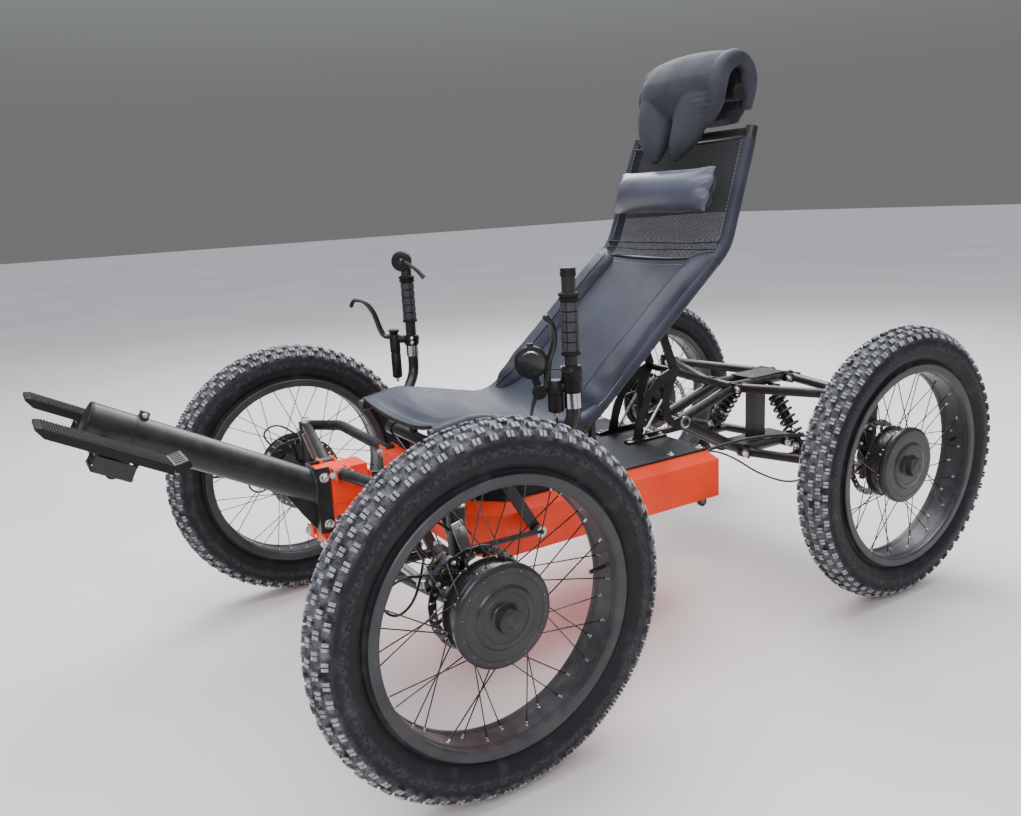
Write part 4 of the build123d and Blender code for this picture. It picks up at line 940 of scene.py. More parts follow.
@dataclass
class Rim:
    """Wide rim with thin raised rings on its bed, crossed spokes and their nipples."""

    radius: float = 0.257
    half_width: float = 0.042
    bed: float = 0.237
    wall: float = 0.0035
    spokes: int = 36
    spoke_radius: float = 0.00125
    row: float = 0.01
    lean: float = 26
    flange: float = 0.0905

    def hoop(self, form: Form) -> None:
        """Add the hoop, with its hollow inner face.

        Args:
            form: the form that takes it.
        """
        half, bed, lip = self.half_width, self.bed, self.radius
        inner = [(half, lip - 0.002), (half - 0.0015, lip), (half - self.wall, lip),
                 (half - self.wall, bed + self.wall)]
        outer = [(half - 0.001, bed + 0.004), (half - 0.004, bed)]
        # Raised rings of the bed: place across the rim, and 1 on a ring or 0 beside it
        rings = [(half - 0.012, 0), (half - 0.0125, 1), (half - 0.0145, 1), (half - 0.015, 0), (0.0235, 0),
                 (0.023, 1), (0.0215, 1), (0.021, 0)]
        bedline = [(x, bed - 0.0011 * up) for x, up in rings]
        side = outer + bedline
        section = [(-x, r) for x, r in reversed(inner)] + [(-x, r) for x, r in side]
        section += [(x, r) for x, r in reversed(side)] + inner
        sides = 144
        form.loft([[(x, a, b) for a, b in circle(r, sides)] for x, r in section], caps=False, closed=True)

    def spoke(self, form: Form, number: int) -> None:
        """Add one spoke with its bend at the flange and its nipple at the bed.

        Args:
            form: the form that takes it.
            number: the spoke's number round the wheel.
        """
        # Foot on the flange, side of the bed and lean round the wheel
        kinds = ((0.006, 1, 1), (-0.03, -1, 1), (0.006, 1, -1), (-0.03, -1, -1))
        flange, row, lean = kinds[number % 4]
        foot = flange + lean * 0.0036
        outer = 2 * pi * number / self.spokes
        inner = outer + lean * radians(self.lean)
        start = Vector((foot, self.flange * cos(inner), self.flange * sin(inner)))
        end = Vector((row * self.row, (self.bed + 0.001) * cos(outer), (self.bed + 0.001) * sin(outer)))
        form.rod(start, end, self.spoke_radius, 1, 8)
        form.rod(start - Vector((lean * 0.0052, 0, 0)), start + Vector((lean * 0.0012, 0, 0)),
                 self.spoke_radius * 1.5, 2, 8)
        form.lathe([(-1, 3.4), (1.2, 3.4), (1.8, 2.1), (7, 2), (7.8, 1.4)], aim(end, start - end), 10, 2)

    def form(self) -> Form:
        """The whole rim about its own centre.

        Returns:
            The rim.
        """
        form = Form(Look.RIM, Look.GLOSS, Look.ZINC)
        self.hoop(form)
        for number in range(self.spokes):
            self.spoke(form, number)
        stem = Vector((0, cos(radians(5)), sin(radians(5))))
        form.rod(stem * (self.bed + 0.002), stem * (self.bed - 0.02), 0.0036, 1, 12)
        form.rod(stem * (self.bed - 0.02), stem * (self.bed - 0.034), 0.0042, 1, 12)
        return form


@dataclass
class Hub:
    """Hub motor with its covers, flanges, cover screws, axle cap and drilled disc."""

    disc: float = 0.1
    disc_at: float = -0.069
    band_width: float = 0.017
    arm_count: int = 6
    hole_count: int = 36

    @staticmethod
    def shell(form: Form) -> None:
        """Add the turned housing.

        Args:
            form: the form that takes it.
        """
        # Heights along the axle, outward from the wheel's middle, and radii
        profile = [(-69, 21), (-68, 22), (-52, 22), (-50, 24), (-49.5, 37), (-48, 39), (-37, 73),
                   (-35, 75.5), (-32.5, 83), (-32, 91), (-31, 92), (-29, 92), (-28, 91), (-28, 84.2),
                   (-22, 84), (-21.5, 82.5), (-20.5, 82.5), (-20, 84), (4, 84.2), (4, 91), (5, 92), (7, 92),
                   (8, 91), (8, 84), (12.5, 84.2), (12.7, 94.5), (14, 96), (22.5, 96), (23.5, 95.3),
                   (24.7, 93.5), (27.2, 90), (27.6, 88), (27.6, 80), (27, 79.5), (27, 78.2), (27.6, 77.7),
                   (27.8, 60), (29, 58.5), (30.6, 57), (31.6, 55), (31.6, 46.5), (31, 46), (31, 44.8),
                   (31.6, 44.2), (31.8, 29), (33.5, 27.2), (34.5, 24.5), (48, 23.6), (50.3, 22.2),
                   (51, 19.5), (50.4, 18.6), (50.4, 17.2), (51, 16.2), (51, 12.5), (50.2, 11.7), (50.2, 9.7),
                   (51, 8.8), (50.8, 0)]
        form.lathe(profile, axes_for((1, 0, 0)), 96)

    @staticmethod
    def screws(form: Form) -> None:
        """Add the screws round the rim of the cover.

        Args:
            form: the form that takes it.
        """
        for y, z in circle(0.0845, 14, radians(13)):
            place = aim((0, y, z), (1, 0, 0))
            form.lathe([(27, 2.4), (27.9, 2.3)], place, 10, 3)
            # The small bright steel hex on each black head stands in for the glint in its dark socket: a
            # painted highlight.
            form.lathe([(27.5, 1.1), (28.2, 0.9)], place, 6, 1)

    def arms(self, form: Form) -> None:
        """Add the hub of the brake disc with its arms and screws.

        Args:
            form: the form that takes it.
        """
        inner = self.disc - self.band_width
        for number in range(self.arm_count):
            angle = 2 * pi * number / self.arm_count
            start = Vector((self.disc_at, 0.028 * cos(angle), 0.028 * sin(angle)))
            end = Vector((self.disc_at, (inner + 0.002) * cos(angle + 0.28),
                          (inner + 0.002) * sin(angle + 0.28)))
            turn = aim((start + end) / 2, end - start, (1, 0, 0))
            form.box((0, 0, 0), (0.002, 0.008, (end - start).length + 0.004), turn, 2, 0.0004)
            form.bolt((self.disc_at - 0.001, 0.022 * cos(angle), 0.022 * sin(angle)), (-1, 0, 0), 0.0036,
                      0.003, 1, 0, 12)
        form.turn([(self.disc_at - 0.001, 0.011), (self.disc_at - 0.001, 0.03),
                   (self.disc_at + 0.001, 0.03)], axes_for((1, 0, 0)), 48, 2)

    def band(self) -> bpy.types.Mesh:
        """The wavy band of the brake disc, drilled through.

        Returns:
            The band's mesh.
        """
        plate, holes = Form(Look.DISC), Form(Look.DISC)
        half, sides, inner = 0.001, 96, self.disc - self.band_width
        rings = []
        for step in range(sides):
            angle = 2 * pi * step / sides
            wide = self.disc - 0.0012 * (step % 8 in (0, 1))
            narrow = inner + 0.0012 * (step % 8 in (4, 5))
            section = ((-half, narrow), (-half, wide), (half, wide), (half, narrow))
            rings.append([(self.disc_at + x, cos(angle) * radius, sin(angle) * radius)
                          for x, radius in section])
        plate.loft(rings, None, 0, False, True)
        for number in range(self.hole_count):
            angle = 2 * pi * number / self.hole_count
            reach = inner + 0.0045 + 0.004 * (number % 3)
            middle = Vector((self.disc_at, reach * cos(angle), reach * sin(angle)))
            holes.rod(middle - Vector((0.003, 0, 0)), middle + Vector((0.003, 0, 0)), 0.0022, 0, 10)
        made, tool = (placed(name, form.mesh(name)) for name, form in (("band", plate), ("holes", holes)))
        cut = made.modifiers.new("cut", "BOOLEAN")
        cut.object = tool
        SoftPiece.bake(made)
        data = made.data
        for thing in (made, tool):
            bpy.data.objects.remove(thing)
        return data

    def form(self) -> Form:
        """The whole hub about the wheel's centre.

        Returns:
            The hub.
        """
        form = Form(Look.MOTOR, Look.STEEL, Look.DISC, Look.PLASTIC)
        self.shell(form)
        self.screws(form)
        self.arms(form)
        return form


class Wheels:
    """All four wheels from one tyre, one rim and one hub."""

    def build(self) -> None:
        """Make each mesh once and stand it at every corner."""
        parts = {
            "tyre": (Tyre().form(), Look.TYRE),
            "rim": (Rim().form(), Look.RIM),
            "hub_motor": (Hub().form(), Look.MOTOR),
        }
        meshes = {name: form.mesh(f"{name}_mesh", 32) for name, (form, _) in parts.items()}
        band = Hub().band()
        for end, y in (("front", FRONT_Y), ("rear", REAR_Y)):
            for side, sign in SIDES.items():
                tail = f"{end}_{side}"
                facing = Matrix.Identity(4) if sign > 0 else Matrix.Rotation(pi, 4, "Z")
                at = Matrix.Translation((sign * TRACKS[end] / 2, y, AXLE_Z)) @ facing
                for name, (_, look) in parts.items():
                    node = f"{name}_{tail}"
                    stand(meshes[name], f"{node}_made", f"wheel_{tail}", (node,), at)
                stand(band, f"disc_{tail}", f"wheel_{tail}", (), at)


# Fittings


class Fittings:
    """Nodes of the frame that keep their own shape, with their nuts, bolts and caps."""

    def build(self) -> None:
        """Give each node its finish and add the fasteners."""
        dress(Look.ORANGE, "battery_case", "nose_post", "front_keel", "front_stay", "front_frame")
        dress(Look.DECK, "deck_plate")
        dress(Look.CELLS, "battery_pack")
        dress(Look.FRAME, "front_upper_arms", "front_lower_arms", "rear_upper_arms", "rear_lower_arms",
              "boom_mount", "boom_extension", "seat_pan_tubes", "seat_back_tubes", "seat_cross_tubes",
              "seat_supports", "seat_plates", "rear_frame", "rear_uprights")
        dress(Look.STEEL, "tie_rod")
        self.link_ends()
        for side in SIDES:
            dress(Look.FRAME, f"knuckle_{side}", f"stick_{side}", f"drag_link_{side}")
            dress(Look.STEEL, f"caster_fork_{side}")
            dress(Look.CASTER, f"caster_wheel_{side}")
        self.pivots()
        self.plates()

    @staticmethod
    def link_ends() -> None:
        """Add the bright joints at the upper ends of the drag links."""
        form = Form(Look.STEEL, Look.PLASTIC)
        form.lathe([(-6, 11.8), (-5.2, 13.6), (5.2, 13.6), (6, 11.8), (6.2, 10.5)],
                   aim((0.283, CASE_FRONT + 0.125, 0.349), (1, 0, 0)), 40)
        form.sides("link_end", "drag_link")

    @staticmethod
    def pivots() -> None:
        """Add the nuts on the pins of the wishbones."""
        form = Form(Look.ZINC)
        # Pins along Y: X, Y and Z
        pins = [(0.052, FRONT_Y - 0.08, 0.497), (0.052, FRONT_Y + 0.073, 0.497),
                (0.052, FRONT_Y - 0.116, 0.35), (0.052, FRONT_Y + 0.09, 0.35), (0.066, REAR_Y - 0.125, 0.5),
                (0.066, REAR_Y + 0.085, 0.5), (0.066, REAR_Y - 0.09, 0.305), (0.066, REAR_Y + 0.085, 0.305),
                (0.366, REAR_Y, 0.311), (0.366, REAR_Y, 0.505)]
        for x, y, z in pins:
            for way in (-1, 1):
                form.bolt((x, y + way * 0.0175, z), (0, way, 0), 0.0075, 0.0055, 0)
        form.mirrored().piece("pivot_nuts", "root")

    @staticmethod
    def plates() -> None:
        """Add the bolts of the deck, the seat, the boom and the rear pivot, and the seat's braces."""
        form = Form(Look.ZINC, Look.GLOSS)
        foot_y = CASE_FRONT + 0.045
        # Screws that stand up from the deck: X, Y and Z
        upright = [(0.062, CASE_REAR - 0.136, 0.42), (0.062, CASE_REAR - 0.085, 0.42),
                   (0.062, CASE_REAR - 0.034, 0.42), (0.137, foot_y + 0.015, 0.42),
                   (0.163, foot_y + 0.015, 0.42), (0.16, 0.028, 0.42), (0.19, 0.028, 0.42),
                   (0.206, 0.244, 0.415), (0.206, CASE_REAR - 0.032, 0.415), (0.206, -0.12, 0.415),
                   (0.206, 0.06, 0.415)]
        for place in upright:
            form.bolt(place, (0, 0, 1), 0.0056, 0.0042, 0)
        for z in (0.49, 0.384):
            form.bolt((0.0322, FRONT_Y - 0.1125, z), (1, 0, 0), 0.0085, 0.0085, 0, 1.3, 16)
        pivot = Vector((0.055, CASE_REAR + 0.06, 0.436))
        across = axes_for((1, 0, 0))
        form.lathe([(0, 17), (2.2, 17), (2.8, 16.2)], Matrix.Translation(pivot) @ across, 40)
        form.lathe([(2, 11.5), (8, 11.5), (9, 10)], Matrix.Translation(pivot) @ across, 6, 1)
        form.strip((0.0525, CASE_REAR - 0.09, 0.421), (0.0525, CASE_REAR - 0.018, 0.512), 0.007, 0.004)
        form.mirrored().piece("frame_bolts", "root")


@dataclass
class Springs:
    """Coil springs over their dampers, front and rear."""

    coil: float = 0.0222
    wire: float = 0.0045
    turns: float = 6.0

    def spring(self, form: Form, top: Vector, foot: Vector) -> None:
        """Add one spring with its damper, its eyes and the nuts of its pins.

        Args:
            form: the form that takes it.
            top: the middle of the upper pin.
            foot: the middle of the lower pin.
        """
        place = aim(top, foot - top, (0, 1, 0))
        length = (foot - top).length
        low, high = 0.03, length - 0.028
        form.turn([(0.004, 0.0095), (0.02, 0.0095), (0.0205, 0.0232), (0.0215, 0.024), (0.028, 0.024),
                   (low, 0.0228), (low, 0.014), (length * 0.62, 0.0135), (length * 0.62 + 0.002, 0.012)],
                  place, 32, 3)
        form.turn([(length * 0.6, 0.005), (length - 0.01, 0.005)], place, 16, 1)
        form.turn([(high - 0.001, 0.014), (high, 0.0228), (high + 0.0015, 0.024), (high + 0.005, 0.024),
                   (high + 0.0065, 0.0225), (high + 0.009, 0.0105), (length - 0.004, 0.01)], place, 32, 3)
        for z in (0, length):
            form.rod(place @ Vector((-0.013, 0, z)), place @ Vector((0.013, 0, z)), 0.0124, 3, 28)
            for way in (-1, 1):
                seat = place @ Vector((way * 0.0175, 0, z))
                form.bolt(seat, place.to_3x3() @ Vector((way, 0, 0)), 0.0075, 0.0055, 2)
        path = []
        count = round(self.turns * 18)
        for step in range(count + 1):
            share = step / count
            angle = 2 * pi * self.turns * share
            rise = min(1.0, max(0.0, (share - 0.07) / 0.86))
            z = low + self.wire + (high - low - 2 * self.wire) * rise
            path.append(place @ Vector((self.coil * cos(angle), self.coil * sin(angle), z)))
        form.tube(path, self.wire, 10)

    def build(self) -> None:
        """Make all four."""
        form = Form(Look.GLOSS, Look.CHROME, Look.ZINC, Look.PLASTIC)
        self.spring(form, Vector((0.054, FRONT_Y, 0.452)), Vector((0.205, FRONT_Y, 0.3588)))
        self.spring(form, Vector((0.066, REAR_Y, 0.478)), Vector((0.168, REAR_Y, 0.332)))
        form.mirrored().piece("springs", "root", "spring_dampers")


@dataclass
class Calipers:
    """Two-piece brake calipers over their discs, with screws and the hose union."""

    reach: float = 0.1
    angle: float = 47
    slot: float = 0.0032
    half: float = 0.0165

    def caliper(self, x: float, y: float) -> Form:
        """One caliper on the left, with X outward, Y round the disc and Z away from the axle.

        Args:
            x: the disc's place across the vehicle.
            y: the axle's place along it.

        Returns:
            The caliper.
        """
        turn = radians(self.angle)
        frame_at = (
            Matrix.Translation((x, y - self.reach * cos(turn), AXLE_Z + self.reach * sin(turn)))
            @ Matrix.Rotation(pi / 2 - turn, 4, "X")
        )
        form = Form(Look.CALIPER, Look.ZINC, Look.BRASS, Look.GLOSS)
        # Outline of a half: place round the disc and away from the axle
        outline = [(-0.031, -0.006), (-0.026, -0.013), (-0.012, -0.017), (0.012, -0.017), (0.026, -0.013),
                   (0.031, -0.006), (0.031, 0.008), (0.025, 0.014), (0.01, 0.017), (-0.01, 0.017),
                   (-0.025, 0.014), (-0.031, 0.008)]
        outward = axes_for((1, 0, 0))
        for way in (1, -1):
            start = self.slot if way > 0 else -self.slot - self.half
            form.plate(outline, self.half, frame_at @ Matrix.Translation((start, 0, 0)) @ UPRIGHT, 0, 0.002)
        for y_at in (-0.018, 0.018):
            form.box((0, y_at, 0.0105), (0.014, 0.016, 0.01), frame_at)
        face = self.slot + self.half
        form.lathe([(0, 12.5), (1.8, 12.5), (2.4, 11.8), (2.4, 8.5), (1.6, 8), (1.6, 1)],
                   frame_at @ Matrix.Translation((face, 0, -0.001)) @ outward, 32, 3)
        form.lathe([(0, 13.5), (4, 13.5), (5.2, 12.2), (5.2, 5), (4.4, 4)],
                   frame_at @ Matrix.Translation((-face, 0, -0.001)) @ axes_for((-1, 0, 0)), 32, 3)
        rotation = frame_at.to_3x3()
        # Screws: seat, direction, radius, height and finish
        for place, out, radius, height, skin in (
            ((face, -0.0225, 0.001), (1, 0, 0), 0.0036, 0.0034, 1),
            ((face, 0.0225, 0.001), (1, 0, 0), 0.0036, 0.0034, 1),
            ((-0.01, 0.006, 0.0168), (0, 0, 1), 0.003, 0.0075, 2),
            ((-0.01, -0.016, 0.015), (0, 0, 1), 0.0048, 0.006, 1),
        ):
            form.bolt(frame_at @ Vector(place), rotation @ Vector(out), radius, height, skin, 1.25)
        return form

    def build(self) -> None:
        """Make the front and the rear pair."""
        self.caliper(TRACKS["front"] / 2 + Hub.disc_at, FRONT_Y).sides("caliper", "knuckle", "front_caliper")
        rear = self.caliper(TRACKS["rear"] / 2 + Hub.disc_at, REAR_Y).mirrored()
        rear.piece("rear_calipers_made", "root", "rear_calipers")


@dataclass
class KnuckleFittings:
    """Kingpin nuts, grey cheek plates and the studs of the steering arms."""

    x: float = 0.42

    def build(self) -> None:
        """Make both sides."""
        form = Form(Look.ZINC, Look.STEEL, Look.PLASTIC)
        for low, way in ((0.5091, 1), (0.3019, -1)):
            place = aim((self.x, FRONT_Y, low), (0, 0, way))
            form.lathe([(0, 16.5), (1.2, 16.5)], place, 32)
            form.lathe([(1, 13.2), (7.8, 13.2), (9, 11.6)], place, 6)
            form.lathe([(9, 9.5), (10, 8.8), (10.8, 6), (11, 1)], place, 20)
        for x in (self.x - 0.021, self.x + 0.021):
            form.strip((x, FRONT_Y - 0.01, 0.486), (x, FRONT_Y + 0.014, 0.404), 0.024, 0.004, 1)
            form.bolt((x + 0.002, FRONT_Y - 0.004, 0.472), (1, 0, 0), 0.0045, 0.0035)
            form.bolt((x + 0.002, FRONT_Y + 0.01, 0.42), (1, 0, 0), 0.0045, 0.0035)
        stud = Matrix.Translation((self.x - 0.085, FRONT_Y, 0))
        form.lathe([(393, 7), (393.6, 8.5), (395.5, 7.2)], stud, 28, 2)
        form.lathe([(404.5, 8.5), (410.5, 8.5), (412, 7)], stud, 6)
        form.lathe([(367.5, 6.4), (362.5, 6.4)], stud, 6)
        form.bolt((self.x, FRONT_Y - 0.075, 0.3852), (0, 0, 1), 0.008, 0.0055)
        form.sides("knuckle_fittings", "knuckle")


# Steering sticks


@dataclass
class Sticks:
    """Grips, brake levers, display and shifter on the two side sticks."""

    grip_low: float = 0.075
    blocks: int = 6
    rows: int = 5

    @staticmethod
    def at(place: Point) -> Vector:
        """Place in millimetres from the collar's lower edge as a point on the left stick."""
        return COLLAR + Vector(place) / 1000

    def post(self, z: float = 0.0) -> Matrix:
        """Frame on the post's middle line at a height over the collar's lower edge."""
        return Matrix.Translation(COLLAR + Vector((0, 0, z)))

    def grip(self) -> Form:
        """Rubber grip with rows of blocks between its rings, and the bar's end cap.

        Returns:
            The grip.
        """
        form = Form(Look.GRIP, Look.BLOCK, Look.PLASTIC)
        form.lathe([(0, 14.5), (0, 19), (1.2, 20), (5, 20), (6.2, 19), (6.4, 16.4), (108, 16.4),
                    (108.2, 19.6), (109.6, 20.6), (113, 20.6), (114.2, 18.6), (116, 18.6), (117.2, 21.2),
                    (121.5, 21.2), (123, 20), (125, 16), (125.2, 14.3)], self.post(self.grip_low), 56)
        pitch = 0.101 / self.rows
        for row in range(self.rows):
            start = self.grip_low + 0.0072 + row * pitch
            for number in range(self.blocks):
                angle = 2 * pi * (number - 0.4) / self.blocks
                reach = 0.9 * pi / self.blocks
                form.sector(self.post(), (angle - reach, angle + reach), (start, start + pitch - 0.0026),
                            (0.0155, 0.0181), 1)
        form.lathe([(230, 15), (230.6, 15.8), (239.5, 15.8), (240, 15), (240.8, 15), (241.2, 15.6),
                    (245.5, 15.2), (247.2, 12.5), (247.4, 1)], self.post(), 40, 2)
        return form

    def clamp(self, form: Form, low: float, high: float, band: float) -> None:
        """Add the black collar with its screws and the bright band below it.

        Args:
            form: the form that takes them.
            low: the collar's lower end over the usual one.
            high: its upper end.
            band: the lower end of the band.
        """
        form.turn([(low, 0.015), (low + 0.0008, 0.0192), (low + 0.006, 0.0202), (low + 0.018, 0.0202),
                   (low + 0.0195, 0.0212), (high - 0.011, 0.0212), (high - 0.0095, 0.02),
                   (high - 0.0015, 0.0192), (high, 0.015)], self.post(), 48)
        form.turn([(band, 0.0148), (band + 0.0012, 0.0168), (low - 0.002, 0.0168), (low - 0.0006, 0.015)],
                  self.post(), 40, 1)
        for z in (low + 0.007, high - 0.008):
            form.bolt(COLLAR + Vector((-0.0185, -0.008, z)), (-0.75, -0.66, 0), 0.004, 0.004, 2, 1.3, 12)

    def cylinder(self, form: Form, low: Point, high: Point, radius: float) -> None:
        """Add the brake's master cylinder, its cap and its hose union.

        Args:
            form: the form that takes it.
            low: the middle of its lower end.
            high: the middle of its upper end.
            radius: its radius.
        """
        a, b = self.at(low), self.at(high)
        length = (b - a).length
        place = aim(a, b - a)
        form.turn([(0, radius * 0.55), (0.003, radius * 0.92), (0.005, radius), (length * 0.55, radius),
                   (length * 0.56, radius * 0.93), (length * 0.6, radius * 0.93),
                   (length * 0.61, radius * 1.04), (length - 0.004, radius * 1.04),
                   (length - 0.001, radius * 0.9), (length, radius * 0.7)], place, 36)
        form.lathe([(-10, 4.2), (-3, 4.6), (1, 7)], place, 6, 2)

    def lever(self, form: Form, points: Sequence[Point]) -> None:
        """Add a brake lever that swells into its tip.

        Args:
            form: the form that takes it.
            points: the places that it passes.
        """
        path = flow([self.at(point) for point in points])
        last = len(path) - 1
        radii = [0.0086 - 0.003 * min(1.0, index / last * 1.2) + 0.0012 * max(0.0, index / last - 0.9) * 10
                 for index in range(last + 1)]
        radii[-1] *= 0.6
        form.tube(path, radii, 14, 3)

    def left(self) -> Form:
        """Controls of the left stick: lever, cylinder, round display and thumb throttle.

        Returns:
            The controls.
        """
        form = Form(Look.PLASTIC, Look.CHROME, Look.ZINC, Look.GLOSS, Look.SHINY)
        self.clamp(form, 0.0, 0.055, -0.034)
        self.cylinder(form, (-18, -29, -42), (-18, -29, 26), 0.016)
        form.rod(self.at((0, 0, 14)), self.at((-18, -29, 10)), 0.012)
        self.lever(form, ((-20, -34, 8), (-24, -43, 22), (-23, -38, 63), (-17, -28, 101), (-18, -30, 135),
                          (-26, -43, 156)))
        facing = Vector((0.86, -0.51, 0))
        dial = aim(self.at((-41, -69, 64)), facing, (0, 0, 1))
        form.lathe([(-8, 1), (-8, 25), (-7, 31), (-4, 33.5), (4.5, 33.5), (7, 32.2), (8, 30), (8, 28.6),
                    (6.6, 28)], dial, 64)
        form.lathe([(6, 28.1), (7, 27.8), (7.4, 15), (7.5, 1)], dial, 64, 4)
        # A thin chrome crescent, widest in its middle, on the upper part of the display glass: a painted
        # highlight on the glass, not a part of the display.
        painted_glint = [dial @ Vector((0.0215 * cos(a), 0.0215 * sin(a), 0.0076))
               for a in spread(radians(-50), radians(50), 14)]
        form.tube(painted_glint, [0.0004 + 0.0016 * sin(angle) for angle in spread(0, pi, 14)], 8, 1)
        form.box((0.034, 0, 0), (0.008, 0.013, 0.011), dial)
        button = aim(self.at((-34, -57, 3)), facing, (0, 0, 1))
        form.lathe([(-11, 1), (-11, 13), (-9, 14.8), (8, 14.8), (10, 13), (10.4, 8.5), (9.6, 8), (9.6, 1)],
                   button, 40)
        form.strip(self.at((-41, -69, 50)), self.at((-34, -57, 8)), 0.012, 0.012)
        form.rod(self.at((-18, -29, 18)), self.at((-34, -57, 6)), 0.008)
        form.tube(flow([self.at(p) for p in ((-36, -62, -4), (-40, -68, -20), (-44, -73, -46))], 5),
                  spread(0.006, 0.003, 10), 12, 3)
        return form

    def right(self) -> Form:
        """Controls of the right stick, drawn on the left: lever and cylinder.

        Returns:
            The controls.
        """
        form = Form(Look.PLASTIC, Look.CHROME, Look.ZINC, Look.GLOSS)
        self.clamp(form, 0.013, 0.04, -0.019)
        self.cylinder(form, (23, -40, -78), (23, -40, 44), 0.0135)
        form.lathe([(44, 9), (52, 15), (56, 15.5), (57, 13)], Matrix.Translation(self.at((23, -40, 0))), 32)
        form.rod(self.at((0, 0, 28)), self.at((23, -40, 30)), 0.011)
        self.lever(form, ((22, -42, 38), (39, -66, 46), (50, -84, 106), (62, -104, 136), (74, -125, 140),
                          (80, -135, 123)))
        return form

    def shifter(self) -> Form:
        """Round shifter body with its ridged top and paddle, drawn on the left.

        Returns:
            The shifter.
        """
        form = Form(Look.PLASTIC, Look.BLOCK, Look.GLOSS)
        body = aim(self.at((5, -8, 238)), (-0.86, -0.51, 0), (0, 0, 1))
        form.lathe([(-17, 1), (-17, 22), (-15, 25.5), (13, 26.5), (16, 25), (17, 22), (17, 15), (16, 14.5),
                    (16, 1)], body, 48)
        for number in range(7):
            angle = radians(-48 + 16 * number)
            rib = body @ Matrix.Rotation(angle, 4, "Z")
            form.box((0.0268, 0, 0), (0.002, 0.003, 0.026), rib)
        form.bolt(body @ Vector((0, 0, 0.016)), body.to_3x3() @ Vector((0, 0, 1)), 0.005, 0.0035, 2)
        form.tube(flow([self.at(p) for p in ((-16, -10, 238), (-32, 14, 216), (-42, 32, 192))], 6),
                  spread(0.0042, 0.0066, 12), 12, 1)
        return form

    def build(self) -> None:
        """Make the fittings of both sticks."""
        self.grip().sides("grip_made", "stick", "grip")
        self.left().piece("controls_left_made", "stick_left", "controls_left")
        self.right().opposite().piece("controls_right_made", "stick_right", "controls_right")
        self.shifter().opposite().piece("shifter_made", "stick_right", "shifter")


# Boom


@dataclass
class Platforms:
    """Ribbed foot platforms on their pedals, with slotted heel stops."""

    x: float = 0.15
    width: float = 0.088
    heel: float = 0.343
    tip: float = 0.575
    spindle: float = 0.437
    spindle_up: float = -0.05

    def platform(self, form: Form, x: float) -> None:
        """Add one platform with its pedal.

        Args:
            form: the form that takes it.
            x: the middle of the platform.
        """
        half = self.width / 2
        # Outline of the foot plate: height and place along the boom
        outline = [(-0.024, self.heel), (-0.0076, self.heel), (-0.0076, self.tip - 0.008), (-0.01, self.tip),
                   (-0.015, self.tip), (-0.024, self.tip - 0.018)]
        form.plate(outline, self.width, BOOM @ Matrix.Translation((x - half, 0, 0)) @ UPRIGHT, 0, 0.0015)
        count = 44
        for number in range(count):
            z = self.heel + 0.004 + (self.tip - self.heel - 0.014) * (number + 0.5) / count
            form.box((x, -0.007, z), (self.width - 0.006, 0.002, 0.0028), BOOM, 1, 0.0004)
        kink = BOOM @ Matrix.Translation((x, -0.015, self.heel)) @ Matrix.Rotation(radians(40), 4, "X")
        form.box((0, 0, -0.015), (self.width, 0.014, 0.03), kink)
        form.box((0, 0.0074, -0.015), (self.width - 0.01, 0.0012, 0.025), kink, 2, 0.0004)
        for number in range(6):
            form.box((-0.0325 + 0.013 * number, 0.008, -0.015), (0.007, 0.0006, 0.019), kink, 1, 0.0002)
        low, high = -0.06, -0.024
        for way in (-1, 1):
            form.box((x + way * 0.0335, (low + high) / 2 - 0.001, self.spindle), (0.0035, 0.03, 0.07), BOOM,
                     3)
            form.box((x, high - 0.004, self.spindle + way * 0.034), (0.068, 0.008, 0.005), BOOM, 3)
            form.box((x, low + 0.006, self.spindle + way * 0.034), (0.068, 0.006, 0.005), BOOM, 3)
        form.rod(BOOM @ Vector((x - 0.032, self.spindle_up, self.spindle)),
                 BOOM @ Vector((x + 0.032, self.spindle_up, self.spindle)), 0.0125, 1)

    def build(self) -> None:
        """Make both platforms, the spindle, the boom's end cap and its weld and clamp."""
        form = Form(Look.PLASTIC, Look.GRIP, Look.ZINC, Look.MOTOR)
        for x in (self.x, -self.x):
            self.platform(form, x)
        reach = self.x + self.width / 2 - 0.008
        form.rod(BOOM @ Vector((-reach, self.spindle_up, self.spindle)),
                 BOOM @ Vector((reach, self.spindle_up, self.spindle)), 0.008, 3, 24)
        form.piece("platforms_made", "boom_extension", "foot_platforms")
        cap = Form(Look.PLASTIC, Look.ZINC)
        cap.lathe([(475.5, 35.2), (479, 35.2), (481.5, 33.8), (482.5, 30), (482.5, 1)], BOOM, 64)
        for way in (-1, 1):
            cap.bolt(BOOM @ Vector((way * 0.034, self.spindle_up, self.spindle)), (way, 0, 0), 0.0125, 0.003,
                     1, 0, 24)
        cap.piece("boom_cap", "boom_extension")
        weld = Form(Look.FRAME, Look.ZINC)
        ring = []
        for step in range(48):
            angle = 2 * pi * step / 48
            up, side = 0.0355 * cos(angle), 0.0355 * sin(angle)
            along = (0.0068 + BOOM_UP.y * up) / -BOOM_RUN.y
            ring.append(BOOM @ Vector((side, up, along + 0.0006 * (step % 2))))
        weld.tube(ring, 0.0032, 10, 0, True)
        for way in (-1, 1):
            weld.bolt(BOOM @ Vector((way * 0.011, 0.04, 0.385)), (way, 0, 0), 0.0045, 0.0035, 1, 1.3)
        weld.lathe([(392.5, 35.2), (393, 35.8), (396.2, 35.8), (396.6, 35.2)], BOOM, 64)
        weld.piece("boom_fittings", "root")


# Cables


